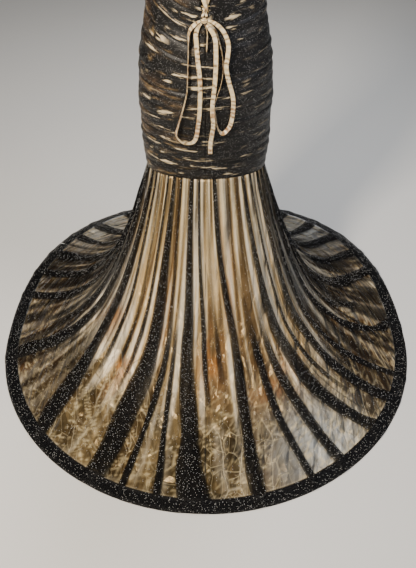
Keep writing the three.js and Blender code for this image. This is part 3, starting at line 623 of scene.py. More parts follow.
def ruched_colour_and_light(row, angle, strength, swell, fine):
    """The net's black, cool on the right, and brown on the left where the satin shows through, painted
    lighter on that side and on the crests as painted highlight, and darkest in the hollows between the
    gathers, where the net lies deeper and painted shade falls.
    """
    warm = smooth(-angle, -12, 40) * (1 - 0.6 * smooth(np.abs(angle), 90, 150))
    cool = smooth(angle, 10, 60)
    glow = smooth(wander(angle / 24 + 30, row / 3.2, 21), -0.1, 0.7) * swell
    thread = smooth(wander(angle / 14 + 40, row * 2.9, 24), 0.2, 0.65) * smooth(fine, -0.2, 0.5)
    layers = [
        ("090a10", 0.6 * cool),
        # Warm brown where the satin shows through on the left, with painted highlight on the crests and on
        # the threads there
        ("554330", 0.75 * warm * glow),
        ("85704f", 0.6 * warm * glow * smooth(strength, 0.5, 1) * smooth(-fine, -0.2, 0.6)),
        ("9d8358", 0.6 * thread * warm),
        ("6a6357", 0.4 * thread * cool),
        # Darkest in the hollows between the gathers: deeper net, with painted shade
        ("06060a", 0.85 * (1 - smooth(swell, 0.1, 0.6))),
    ]
    return layered_colours(layers, "0b0a0a")


def panel_side(height):
    """Half the gap at a seam, in degrees."""
    depth = curve(height, SECTION_HEIGHT, SECTION_BACK)
    return np.degrees(SEWN_GAP / 2 / depth)


SHEATH_PANELS = [
    ("sheath_back_right", opening_angle, lambda h: 90 - panel_side(h), 1),
    ("sheath_back_left", opening_angle, lambda h: 90 - panel_side(h), -1),
    ("sheath_front_right", lambda h: 90 + panel_side(h), lambda h: 180 - panel_side(h), 1),
    ("sheath_front_left", lambda h: 90 + panel_side(h), lambda h: 180 - panel_side(h), -1),
]
sheath = []
for name, start, end, turned in SHEATH_PANELS:
    piece = sheath_panel(name + "_cloth", start, end, turned)
    declare(piece, RUCHED, "ruched_tulle", name)
    sheath.append(piece)


# Satin skirt

# Where the satin is painted with warm caramel shade and with silver and cream highlights: angle, share of
# the way down, reach of each, strength
CARAMEL_SHADE = [
    (-60, 0.36, 9, 0.1, 0.9),
    (-38, 0.52, 5, 0.1, 0.8),
    (2, 0.42, 5, 0.1, 0.9),
    (34, 0.55, 13, 0.08, 0.7),
    (-26, 0.3, 4, 0.12, 0.6),
    (14, 0.2, 5, 0.14, 0.6),
    (150, 0.4, 9, 0.12, 0.7),
    (-140, 0.5, 8, 0.12, 0.7),
]
SILVER_HIGHLIGHTS = [
    (37, 0.88, 14, 0.22, 1.1),
    (-82, 0.28, 14, 0.14, 0.6),
    (76, 0.26, 16, 0.14, 0.7),
    (142, 0.85, 16, 0.3, 1),
    (-143, 0.9, 16, 0.2, 0.9),
]
CREAM_HIGHLIGHTS = [
    (26, 0.2, 10, 0.24, 1.3),
    (38, 0.42, 6, 0.12, 0.9),
    (-24, 0.3, 5, 0.2, 0.8),
    (2, 0.24, 5, 0.12, 0.7),
    (62, 0.55, 9, 0.12, 0.8),
]


def patch(angle, share, spots):
    """How much of a table's soft spots lies at each place."""
    total = 0 * angle
    for middle, down, wide, tall, strength in spots:
        aside, above = (angle - middle) / wide, (share - down) / tall
        total = total + strength * np.exp(-(aside**2) - above**2)
    return total


# The cut cloth as far as the creases need it: the half girth at seam and hem, a start clear of
# nought, the length of the fall, and how deep the creases sink, all in millimetres
GIRTH_SEAM, GIRTH_HEM, GIRTH_START, SATIN_FALL, CREASE_SINK = 140, 640, 4000, 820, 1.8
# How finely a gore is divided, and how far its creases may go in and out
GORE_ROWS, GORE_COLUMNS, CREASE_IN, CREASE_OUT = 112, 125, -7, 2.6
SEAM_HALF, SATIN_CLOTH = 110, 0.8
# The crushed creases: degrees from the fall, distance apart, height and how far down they start
CREASES = [
    (24, 74, 3.2, 0.25),
    (-31, 92, 3.4, 0.35),
    (62, 66, 2.2, 0.4),
    (-57, 84, 2.6, 0.45),
    (7, 43, 1.6, 0.3),
    (-80, 58, 1.2, 0.5),
]


def girth_of(angle, share):
    """About how far round the skirt a place is, in millimetres."""
    return lerp(GIRTH_SEAM, GIRTH_HEM, np.minimum(share, 1)) * np.radians(angle) + GIRTH_START


def satin_creases(angle, share):
    """The crushed cloth's relief in millimetres, and where its crests and its hollows lie, for painted
    highlights on the crests and painted shade in the hollows.
    """
    girth = girth_of(angle, share)
    down = SATIN_FALL * share
    relief, crests, hollows = 0, 0, 0
    for seed, (lean, apart, high, start) in enumerate(CREASES):
        turn = math.radians(lean)
        warp = 0.6 * wander(girth / 190, down / 170, 300 + seed)
        warp = warp + 0.1 * wander(girth / 37, down / 41, 320 + seed)
        phase = (girth * math.cos(turn) + down * math.sin(turn)) / apart + warp
        fold = 1 - 2 * np.abs(phase - np.floor(phase) - 0.5)
        local = smooth(wander(girth / 80, down / 100, 340 + seed), -0.45, 0.35)
        local = local * smooth(share, start, start + 0.25)
        relief = relief + high * local * (fold - 0.5)
        crests = np.maximum(crests, local * smooth(fold, 0.9, 0.99))
        hollows = np.maximum(hollows, local * smooth(-fold, -0.14, -0.02))
    return relief - CREASE_SINK, crests, hollows


def satin_gore(name, start, end):
    """A gore with fine pleats at the seam, long hanging folds, and crushed creases below them."""
    share = np.concatenate([np.linspace(0, 0.995, GORE_ROWS) ** 1.12, [1]])[:, None]
    inset = np.degrees(lerp(SEWN_GAP / 2 / SEAM_HALF, SEWN_GAP / 2 / HEM_HALF, share))
    angle = lerp(start + inset, end - inset, np.linspace(0, 1, GORE_COLUMNS)[None, :])
    relief, crests, hollows = satin_creases(angle, share)
    pleats = np.sin(np.radians(angle) * 46 + 2 * np.sin(np.radians(angle) * 7))
    gathers = 0.9 * pleats * smooth(share, 0, 0.02) * (1 - smooth(share, 0.1, 0.4))
    fall = wander(angle / 2.4 + 60 + 0.8 * share, share * 2.4, 61)
    fall = fall + 0.4 * wander(angle / 1.1 + 60, share * 4, 62)
    high = 1 - smooth(share, 0.45, 0.8)
    edge = smooth(share, 0, 0.03) * (1 - 0.8 * smooth(share, 0.97, 1))
    out = satin_wave(angle, share) + SATIN_THICK
    out = out + edge * np.clip(relief + gathers + 1.3 * fall * high, CREASE_IN, CREASE_OUT)
    outer = skirt_point(angle, share, out)
    inner = skirt_point(angle, share, out - SATIN_CLOTH)
    aside = smooth(np.abs(angle), 45, 80)
    low = smooth(share, 0.35, 0.7)
    broad = wander(angle / 9 + 60, share * 6, 63)
    spots = smooth(wander(angle / 3 + 60, share * 14, 42), -0.5, 0.4)
    shadows = smooth(ridge(angle / 5 + 60, share * 22, 64, 9) - 0.4 * low, 0.3, 0.8)
    layers = [
        ("4a3f27", low * (0.8 + 0.2 * smooth(broad, -0.5, 0.5))),
        ("442e1b", 0.87 * aside),
        # Painted shade in the hollows of the long hanging folds, and painted highlights on their crests
        ("4d3823", 0.85 * smooth(-fall, 0.15, 0.65) * lerp(0.4, 1, high)),
        ("fff6e2", smooth(fall, 0.0, 0.45) * lerp(0.2, 1, high) * lerp(1, 0.85, aside)),
        # Patches of painted highlight in cream and silver, and of warm painted shade in caramel
        ("fff8ea", 0.9 * patch(angle, share, CREAM_HIGHLIGHTS) * smooth(fall, -0.5, 0.1)),
        ("c88642", 0.95 * patch(angle, share, CARAMEL_SHADE) * spots),
        ("b4babf", patch(angle, share, SILVER_HIGHLIGHTS)),
        # Painted shade in the crease hollows and painted highlights on their crests
        ("3d2f1a", 0.5 * hollows),
        ("efe0b8", 0.55 * crests),
        ("453722", 0.4 * shadows * low),
        # Painted highlights on the pleats at the seam, and painted shade between them
        ("fff1cf", 0.85 * smooth(pleats, 0.3, 0.9) * (1 - smooth(share, 0.04, 0.16))),
        ("3d2f1d", 0.8 * smooth(-pleats, 0.1, 0.8) * (1 - smooth(share, 0.03, 0.14))),
        ("f8ecd0", 0.9 * smooth(share, 0.992, 0.999)),
    ]
    girth = girth_of(angle, share)
    crush = lerp(0.2, 1, smooth(share, 0.25, 0.55))
    crush = crush * smooth(wander(girth / 130, share * 5, 65), -0.7, 0.3)
    cut = stack(girth / 1000, SATIN_FALL / 1000 * share, 0)
    marks = {"colour_and_painted_light": layered_colours(layers, "dcc190"), "crush": crush, "cut": cut}
    return shell(name, outer, inner, marks)


satin = []
GORES = [
    ("skirt_back_left", -90, 0),
    ("skirt_back_right", 0, 90),
    ("skirt_front_right", 90, 180),
    ("skirt_front_left", -180, -90),
]
for name, start, end in GORES:
    piece = satin_gore(name + "_cloth", start, end)
    declare(piece, SATIN, "champagne_satin", name)
    satin.append(piece)


# Overlay

ROW_SHARE = [0, 0.05, 0.12, 0.21, 0.33, 0.48, 0.7, 1, 1.024, 1.064]
ROW_OFF = [0.6, 3.4, 4.4, 4.6, 4.6, 4.6, 4.6, 4.2, 2.2, 0.3]
ROW_FOLD = [0, 0.65, 0.9, 1, 1, 1, 0.95, 0.85, 0.6, 0.35]
KNEE = 0.35
SEAM_WIDE = 4
# Each fold's middle angle at seam, knee and hem, width at knee and hem, height, and reach
FOLDS = [
    (-172, -172, -170, 6, 5, 8, 0),
    (-158, -157, -156, 5, 4, 7, 0),
    (-146, -145, -143, 7, 5, 9, 0),
    (-132, -131, -133, 4, 4, 7, 0),
    (-120, -119, -121, 6, 5, 9, 0),
    (-106, -108, -111, 5, 4, 8, 0),
    (-90, -96, -101, 5, 3, 9, 0),
    (-82, -85, -91, 2.4, 2, 5, 0.8),
    (-74, -74, -82, 6.8, 5.2, 10, 0),
    (-62, -60, -52, 8.6, 5, 10, 0),
    (-54, -50, -45, 2.4, 2, 5, 0.6),
    (-46, -42, -41, 2.4, 2, 5, 0.5),
    (-38, -36, -36.5, 2.4, 2, 5, 0.6),
    (-31, -28, -30, 8.8, 5.9, 10, 0),
    (-23.5, -20, -21.5, 2.6, 1.8, 6, 0),
    (-18.5, -15.8, -13, 2, 1.8, 5, 0),
    (-13, -9.5, -3, 6.6, 8, 10, 0),
    (-6, -1, 4.5, 2.4, 2, 5, 0.6),
    (1, 6, 9, 2.4, 2, 5, 0.5),
    (8, 14.6, 13.5, 4.2, 4.2, 9, 0),
    (17, 24.6, 28, 3.2, 2.4, 7, 0),
    (27, 31.2, 38, 4, 3.2, 8, 0),
    (37, 39, 53, 7.6, 5, 10, 0),
    (47, 47, 59, 2.4, 2, 5, 0.8),
    (58, 54.5, 64.5, 6, 4, 9, 0),
    (68, 63.5, 74, 4, 2.4, 8, 0),
    (80, 76, 92, 4.4, 2.6, 8, 0),
    (94, 86, 102, 2.4, 2, 5, 0.8),
    (106, 98, 112, 6.8, 4.6, 9, 0),
    (119, 116, 122, 5, 4, 8, 0),
    (131, 130, 133, 6, 5, 9, 0),
    (144, 143, 145, 5, 4, 7, 0),
    (156, 156, 157, 7, 5, 9, 0),
    (170, 170, 171, 5, 4, 8, 0),
]
# Each panel, and the folds that its two edges come just after
OVERLAY_PANELS = [
    ("overlay_left", 3, 10),
    ("overlay_back", 10, 24),
    ("overlay_right", 24, 31),
    ("overlay_front", 31, 37),
]
# Rows down the net, close together at the seam and past the satin's hem
NET_ROWS = np.concatenate([np.linspace(0, 0.1, 14), np.linspace(0.11, 0.99, 70)])
NET_ROWS = np.concatenate([NET_ROWS, [0.996, 1, 1.003, 1.012, 1.024, 1.044, 1.064]])
# Places of the columns across a fold, and between two folds
ACROSS_FOLD = [-1, -0.93, -0.75, -0.5, -0.25, 0, 0.25, 0.5, 0.75, 0.93, 1]
ACROSS_HOLLOW = [0.08, 0.18, 0.28, 0.36, 0.43, 0.5, 0.57, 0.64, 0.72, 0.82, 0.92]
FROM_SEAM, TO_SEAM = ACROSS_HOLLOW[5:], ACROSS_HOLLOW[:6]
# How much of the light a single layer and a deep fold stop, and how a fold's edges wear thin
SHEER, DENSE = 0.05, 0.84
WORN_FROM, WORN_TO = [0.5, 0.93, 1], [1, 0.62, 0]
# Folds that stay sheer above the knee, by their angle at the seam, and how much of their net shows
THIN_FOLDS = {-46: 0.5, -23.5: 0.6, -18.5: 0.3, 1: 0.3, 17: 0.25, 27: 0.25}


def fold_middle(index, share):
    """The angle of a fold's middle, straying a little on its way down."""
    fold = FOLDS[index % len(FOLDS)]
    upper = lerp(fold[0], fold[1], smooth(share, 0, KNEE))
    lower = lerp(fold[1], fold[2], (np.minimum(share, 1) - KNEE) / (1 - KNEE))
    stray = 0.6 * wander(share * 4.5 + index, 0 * share + 3 * index, 55) * smooth(share, 0.05, 0.3)
    return np.where(share < KNEE, upper, lower) + stray + 360 * (index // len(FOLDS))


def fold_half(index, share):
    """Half a fold's width in degrees."""
    fold = FOLDS[index % len(FOLDS)]
    upper = lerp(min(SEAM_WIDE, fold[3]), fold[3], share / KNEE)
    lower = lerp(fold[3], fold[4], (np.minimum(share, 1) - KNEE) / (1 - KNEE))
    uneven = 1 + 0.24 * wander(share * 5.5 + 2 * index, 0 * share + index, 56) * smooth(share, 0.05, 0.3)
    return np.where(share < KNEE, upper, lower) / 2 * uneven


def fold_left(index, share):
    """How much is left of a fold that runs out before the hem."""
    reach = FOLDS[index % len(FOLDS)][6]
    return np.sqrt(np.maximum(0, 1 - share / reach)) if reach else 1 + 0 * share


def overlay_columns(first, last, share):
    """Angles, heights and how many layers of net, as columns over the rows of shares."""
    angles, highs, plies = [], [], []

    def hollow(index, shares):
        left = fold_middle(index, share) + fold_half(index, share)
        right = fold_middle(index + 1, share) - fold_half(index + 1, share)
        for part in shares:
            angle = lerp(left, right, part)
            sway = part * 11 + 7 * index + 0.6 * np.sin(5 * share)
            strand = smooth(wander(sway, share * 3.1 + index, 53), 0.3, 0.75)
            sparse = lerp(0.35, 1, smooth(np.abs((angle + 180) % 360 - 180), 30, 60))
            angles.append(angle)
            highs.append(0.9 * math.sin(math.pi * part) * smooth(share, 0.05, 0.3))
            plies.append(0.42 * strand * sparse * (1 - 0.3 * smooth(share, 0.5, 0.9)))

    hollow(first, FROM_SEAM)
    for index in range(first + 1, last + 1):
        left = fold_left(index, share)
        thin = THIN_FOLDS.get(FOLDS[index % len(FOLDS)][0], 1)
        net = lerp(thin, 1, smooth(share, 0.28, 0.42))
        for side in ACROSS_FOLD:
            angles.append(fold_middle(index, share) + side * fold_half(index, share))
            pleat = 0.12 * math.cos(2.5 * math.pi * side + index)
            highs.append(FOLDS[index % len(FOLDS)][5] * (1 - abs(side) ** 2.4) * (1 + pleat) * left)
            stripe = 0.5 + 0.5 * wander(share * 5 + index, side * 3 + 2 * index + 0 * share, 54)
            worn = np.interp(abs(side), WORN_FROM, WORN_TO) * lerp(0.76, 1, stripe)
            plies.append(worn * np.minimum(1, left * 1.6) * net)
        hollow(index, TO_SEAM if index == last else ACROSS_HOLLOW)
    return np.hstack(angles), np.hstack(highs), np.hstack(plies)


def overlay_panel(name, first, last):
    """A panel of net, with dark folds and sheer hollows, that runs out past the satin's hem."""
    share = NET_ROWS[:, None]
    angle, high, fold = overlay_columns(first, last, share)
    inset = np.degrees(SEWN_GAP / 2 / lerp(SEAM_HALF, HEM_HALF, np.minimum(NET_ROWS, 1)))
    angle[:, 0] += inset
    angle[:, -1] -= inset
    within = (angle + 180) % 360 - 180
    on_satin = np.where(share > 1, 0, satin_wave(within, share) + SATIN_THICK)
    off = np.interp(share, ROW_SHARE, ROW_OFF)
    rise = np.interp(share, ROW_SHARE, ROW_FOLD)
    ripple = 0.5 * wander(within / 3 + 70, share * 14, 51) * smooth(share, 0.05, 0.2) * (share < 1)
    out = on_satin + off + rise * high + ripple
    outer = skirt_point(within, share, out + CLOTH_THICK)
    inner = skirt_point(within, share, out)
    aside = smooth(np.abs(within), 48, 80)
    aside = aside * (1 - smooth(np.abs(within), 120, 140) * smooth(share, 0.6, 0.8))
    cloudy = 0.5 + 0.5 * wander(within / 4 + 70, share * 9, 52)
    drawn = 0.5 + 0.5 * wander(within / 1.4 + 70, share * 3, 57)
    veil = SHEER + 0.5 * aside * smooth(drawn, 0.25, 0.7) * (1 - 0.3 * smooth(share, 0.4, 0.9))
    past = smooth(share, 0.996, 1.002)
    veil = lerp(veil, lerp(0.86 + 0.1 * cloudy, 0.62, smooth(share, 1.035, 1.064)), past)
    solid = DENSE * (0.86 + 0.14 * cloudy)
    specks = lerp(0.15 + 0.85 * fold, 0.8, past)
    return shell(name, outer, inner, {"ply": lerp(veil, solid, fold), "fold": specks})


overlay = []
for name, first, last in OVERLAY_PANELS:
    piece = overlay_panel(name + "_cloth", first, last)
    declare(piece, TULLE, "black_tulle", name)
    overlay.append(piece)


# Ribbons

LACE_ROWS = [1158, 1203, 1248, 1293, 1334]
LOOP_REACH, LOOP_TALL, LOOP_CORD, LOOP_SQUARE, LOOP_OUT = 4.4, 16, 1, 0.4, 1
LACE_PINCH, LACE_LEAD, LACE_CLEAR, LACE_OVER, LACE_UNDER = 6.4, 3, 0.6, 5, 1
LACE_ROUND = LOOP_CORD + LACE_CLEAR + 0.5
HANG_BELOW, HANG_CLOSE = 930, 0.35
LOOP_STOPS, CORD_SIDES = 25, 10
RIBBON_THICK, LACING_STEPS, BOW_STEPS = 0.8, 6, 12
# The knot's place, its half sizes across, out and up, and how finely it is divided
KNOT_AT, KNOT_SIZE, KNOT_RINGS, KNOT_AROUND = (-3, 1134, 13), (9, 5, 7.5), 40, 64
# Where the lacing leaves the knot and comes back to it: across, height and out
LACE_START = [(2.6, 1142.4, 13), (1.5, 1148, 6.5), (-0.5, 1153, 1.2)]
LACE_END = [(-5, 1150, 8), (-8.6, 1142.4, 13)]
# Across, height, out and turn of each place along the bow's ribbons
LOOP_LEFT = [
    (-12.8, 1134, 14, 0),
    (-23, 1128, 14, 20),
    (-40, 1108, 14, 60),
    (-44, 1057, 14, 80),
    (-47, 988, 14, 80),
    (-50, 947, 14, 80),
    (-62, 896, 14, 80),
    (-76, 844, 14, 75),
    (-82, 812, 13, 60),
    (-63, 790, 11, 30),
    (-34, 796, 9, 0),
    (-20, 856, 9, 0),
    (-15, 924, 9, 0),
    (-15, 988, 9, 0),
    (-20, 1034, 9, 0),
    (-23, 1074, 9, 0),
    (-24, 1102, 9, 0),
    (-17, 1119, 10, 0),
    (-10.2, 1126.6, 12, 0),
]
LOOP_RIGHT = [
    (6.8, 1135, 14, 0),
    (17, 1133, 17, 0),
    (38, 1119, 20, 10),
    (52, 1098, 21, 10),
    (59, 1074, 21, 0),
    (57, 1046, 21, 0),
    (54, 1023, 21, 0),
    (56, 1006, 20, 0),
    (63, 974, 14, 0),
    (72, 940, 10, 0),
    (75, 916, 10, 0),
    (73, 871, 10, 0),
    (65, 840, 11, 20),
    (47, 824, 13, 55),
    (35, 838, 13, 85),
    (27, 882, 13, 85),
    (24, 912, 13, 85),
    (32, 946, 13, 85),
    (42, 980, 13, 85),
    (46, 1018, 13, 85),
    (43, 1052, 13, 85),
    (37, 1076, 13, 85),
    (28, 1104, 13, 80),
    (16, 1120, 13, 60),
    (5.2, 1128.4, 13, 40),
]
TAIL_LONG = [
    (2.6, 1125.6, 15.5, 0),
    (9, 1119, 19.5, 0),
    (19, 1107, 21, 0),
    (25, 1090, 21, 0),
    (27, 1060, 21, 0),
    (26, 1002, 21, 0),
    (22, 956, 21, 0),
    (18, 912, 21, 0),
    (21, 856, 20, 0),
    (18, 828, 15, 0),
    (13, 789, 11, 0),
    (13, 757, 10, 0),
]
TAIL_SHORT = [(-2.6, 1125.8, 13, 70), (2, 1116, 13, 80), (5, 1102, 13, 80), (3, 1059, 13, 80)]


def behind(across, height, out):
    """A place behind the sheath. Below the seat a ribbon hangs clear of it."""

    def depth(level):
        half = curve(level, SECTION_HEIGHT, SECTION_HALF)
        return curve(level, SECTION_HEIGHT, SECTION_BACK) * np.sqrt(1 - (across / half) ** 2)

    close = depth(height) if height > HANG_BELOW else lerp(depth(HANG_BELOW), depth(height), HANG_CLOSE)
    return np.array([across, -close - out, height - WAIST_HEIGHT])


def path(points, steps):
    """A centripetal curve through points, with so many steps between each two."""
    ends = [2 * points[0] - points[1], *points, 2 * points[-1] - points[-2]]
    found = []
    for a, b, c, d in zip(ends, ends[1:], ends[2:], ends[3:]):
        gaps = [np.linalg.norm(q - p) ** 0.5 for p, q in ((a, b), (b, c), (c, d))]
        before, here, after = [max(gap, 1e-4) for gap in gaps]
        start = ((b - a) / before - (c - a) / (before + here) + (c - b) / here) * here
        end = ((c - b) / here - (d - b) / (here + after) + (d - c) / after) * here
        for step in range(steps):
            u = step / steps
            rise = 2 * (b - c) + start + end
            fall = 3 * (c - b) - 2 * start - end
            found.append(b + start * u + fall * u * u + rise * u**3)
    found.append(points[-1])
    return np.array(found)


def ribbon(name, places, wides, directions, seed):
    """A band along places, curled a little across and creased along its length."""
    along = unit(np.gradient(places, axis=0))
    face = unit(np.cross(along, directions))
    edge = np.cross(face, along)
    run = np.concatenate([[0], np.cumsum(np.linalg.norm(np.diff(places, axis=0), axis=1))])[:, None]
    side = np.linspace(-1, 1, 7)[None, :]
    slant = run + 1.6 * side + 2 * wander(run / 17, side + 3, seed)
    crease = np.sin(slant * 0.46 + 2.2 * wander(run / 13 + 5, 0 * side, seed + 1))
    lift = 0.3 * crease - 0.5 * side**2 + 0.35 * wander(run / 14, side * 1.5 + 7, seed + 2)
    at = places[:, None, :] + edge[:, None, :] * np.expand_dims(side * wides[:, None] / 2, -1)
    top = at + face[:, None, :] * np.expand_dims(lift + RIBBON_THICK / 2, -1)
    low = at + face[:, None, :] * np.expand_dims(lift - RIBBON_THICK / 2, -1)
    folded = smooth(-crease, 0.66, 0.95) * smooth(wander(run / 21, 0 * side, seed + 3), -0.6, 0.2)
    layers = [
        ("a97a48", 0.75 * smooth(wander(run / 31, side * 0.5, seed + 4), 0.2, 0.7)),
        # Painted shade in the cross creases, painted highlights on their ridges, and painted shade along
        # the curled edges
        ("6b4726", 0.95 * folded),
        ("fffaec", 0.8 * smooth(crease, 0.3, 0.95)),
        ("9a7446", 0.5 * smooth(np.abs(side), 0.8, 1)),
    ]
    return shell(name, top, low, {"colour_and_painted_light": layered_colours(layers, "efdfb8")})


def bow_ribbon(name, table, both_ends, seed):
    """A loop or a tail of the bow, pinched where it leaves the knot."""
    places = path([behind(*row[:3]) for row in table], BOW_STEPS)
    at = np.linspace(0, len(table) - 1, len(places))
    turn = np.radians(curve(at, np.arange(len(table)), [row[3] for row in table]))[:, None]
    along = unit(np.gradient(places, axis=0))
    flat = unit(np.cross(along, BACK))
    direction = flat * np.cos(turn) + np.cross(along, flat) * np.sin(turn)
    from_knot = np.minimum(at, len(table) - 1 - at) if both_ends else at
    wides = RIBBON_WIDTH * lerp(0.5, 1, smooth(from_knot, 0, 2))
    piece = ribbon(name + "_cloth", places, wides, direction, seed)
    declare(piece, RIBBON, "champagne_ribbon", name)
    return piece


def opening(height):
    """Half the width of the laced opening."""
    return SEWN_GAP / 2 + V_SPREAD * max(0, height - V_FOOT)


def loop_middle(height):
    """How far aside the cord of a loop passes."""
    return opening(height) - SEWN_GAP - LOOP_REACH


def lace_turn(height, side):
    """Stations of the lacing as it goes round a loop's cord: place, width and direction across."""
    up = np.array([0.0, 0.0, 1.0])
    middle = loop_middle(height)
    stops = [(middle - LACE_LEAD, LOOP_OUT - LACE_ROUND)]
    for turn in (-90, -40, 0, 40, 90):
        swing = math.radians(turn)
        stops.append((middle + LACE_ROUND * math.cos(swing), LOOP_OUT + LACE_ROUND * math.sin(swing)))
    stops.append((middle - LACE_LEAD / 2, LOOP_OUT + LACE_ROUND + LACE_CLEAR))
    return [(behind(side * across, height, out), LACE_PINCH, up) for across, out in stops]


def lace_span(start, end, out):
    """The station half way between two loops."""
    run = end - start
    direction = unit(np.array([-run[2], 0, run[0]]) * np.sign(run[0]))
    middle = (start + end) / 2
    return behind(middle[0], middle[2] + WAIST_HEIGHT, out), RIBBON_WIDTH, direction


def lacing():
    """One ribbon from the knot up through the loops, and down again across itself to the knot."""
    sides = [1 if i % 2 == 0 else -1 for i in range(len(LACE_ROWS))]
    up = [lace_turn(height, side) for height, side in zip(LACE_ROWS, sides)]
    down = [lace_turn(height, -side) for height, side in zip(LACE_ROWS, sides)][::-1]
    turns = up + down
    right = np.array([1.0, 0.0, 0.0])
    stations = [(behind(*place), LACE_PINCH, right) for place in LACE_START]
    for i, turn in enumerate(turns):
        stations.extend(turn)
        if i + 1 < len(turns):
            out = LACE_OVER if i < len(LACE_ROWS) - 1 else LACE_UNDER
            stations.append(lace_span(turn[-1][0], turns[i + 1][0][0], out))
    stations.extend((behind(*place), LACE_PINCH, right) for place in LACE_END)
    places = path([station[0] for station in stations], LACING_STEPS)
    stops = np.arange(len(stations))
    at = np.linspace(0, len(stations) - 1, len(places))
    wides = np.interp(at, stops, [station[1] for station in stations])
    turned = np.array([station[2] for station in stations])
    direction = np.stack([np.interp(at, stops, turned[:, k]) for k in range(3)], axis=1)
    piece = ribbon("lacing_cloth", places, wides, unit(direction), 71)
    declare(piece, RIBBON, "champagne_ribbon", "lacing")
    return piece


def loop_stops(height, side):
    """The middle line of a cord loop, bulging into the opening."""
    stops = []
    for turn in np.radians(np.linspace(-90, 90, LOOP_STOPS)):
        level = height + (LOOP_TALL / 2 - LOOP_CORD) * math.sin(turn)
        bulge = max(math.cos(turn), 0) ** LOOP_SQUARE
        across = lerp(opening(level) - SEWN_GAP, loop_middle(height), bulge)
        stops.append(behind(side * across, level, LOOP_OUT))
    return np.array(stops)


def cord_loops():
    """All the cord loops down both edges of the opening, as one mesh of round tubes."""
    points, faces = [], []
    for height, side in [(height, side) for height in LACE_ROWS for side in (-1, 1)]:
        stops = loop_stops(height, side)
        along = unit(np.gradient(stops, axis=0))
        first = unit(np.cross(along, BACK))
        second = np.cross(along, first)
        base = len(points)
        for stop, a, b in zip(stops, first, second):
            for k in range(CORD_SIDES):
                turn = 2 * math.pi * k / CORD_SIDES
                points.append(stop + LOOP_CORD * (a * math.cos(turn) + b * math.sin(turn)))
        for i in range(LOOP_STOPS - 1):
            here, after = base + i * CORD_SIDES, base + (i + 1) * CORD_SIDES
            for k in range(CORD_SIDES):
                following = (k + 1) % CORD_SIDES
                faces.append([here + k, here + following, after + following, after + k])
        faces.append([base + k for k in range(CORD_SIDES)][::-1])
        faces.append([base + (LOOP_STOPS - 1) * CORD_SIDES + k for k in range(CORD_SIDES)])
    piece = new_piece("lace_loops", np.array(points), faces)
    paint(piece, "colour_and_painted_light", np.tile(linear("d8c290"), (len(points), 1)))
    names = [f"lace_loop_{side}_{i + 1}" for side in ("left", "right") for i in range(len(LACE_ROWS))]
    declare(piece, RIBBON, "champagne_ribbon", *names)
    return piece


def bow_knot():
    """The knot: a lump with folds wound round it."""
    polar = np.linspace(0.02, math.pi - 0.02, KNOT_RINGS)[:, None]
    turn = np.linspace(0, 2 * math.pi, KNOT_AROUND + 1)[None, :-1]
    fold = 0.06 * np.sin(7 * polar + 1.2 * np.sin(turn)) + 0.03 * np.sin(13 * polar + 2 * turn)
    swell = 1 + fold * np.sin(polar)
    wide, deep, tall = KNOT_SIZE
    x = wide * np.sin(polar) * np.cos(turn) * swell
    y = deep * np.sin(polar) * np.sin(turn) * swell
    z = tall * np.cos(polar) * swell + 0 * turn
    grid = stack(x, y, z) + behind(*KNOT_AT)
    points = np.vstack([grid.reshape(-1, 3), grid[0].mean(axis=0), grid[-1].mean(axis=0)])
    count = KNOT_RINGS * KNOT_AROUND
    number = np.arange(count).reshape(KNOT_RINGS, KNOT_AROUND)
    after = np.roll(number, -1, axis=1)
    faces = stack4(number[:-1], number[1:], after[1:], after[:-1]).tolist()
    for k in range(KNOT_AROUND):
        faces.append([count, int(number[0, k]), int(after[0, k])])
        faces.append([count + 1, int(after[-1, k]), int(number[-1, k])])
    piece = new_piece("bow_knot_cloth", points, faces)
    # Painted shade in the hollows of the knot's folds and painted highlights on their ridges
    layers = [("a9804e", smooth(-fold, 0.02, 0.07)), ("f3e8cf", smooth(fold, 0.02, 0.07))]
    shades = layered_colours(layers, "dcc79c").reshape(-1, 3)
    paint(piece, "colour_and_painted_light", np.vstack([shades, shades[:1], shades[-1:]]))
    declare(piece, RIBBON, "champagne_ribbon", "bow_knot")
    return piece


lace = lacing()
loops = cord_loops()
knot = bow_knot()
bow = [
    bow_ribbon("bow_loop_left", LOOP_LEFT, True, 81),
    bow_ribbon("bow_loop_right", LOOP_RIGHT, True, 91),
    bow_ribbon("bow_tail_long", TAIL_LONG, False, 101),
    bow_ribbon("bow_tail_short", TAIL_SHORT, False, 111),
]


# Glitter on the net


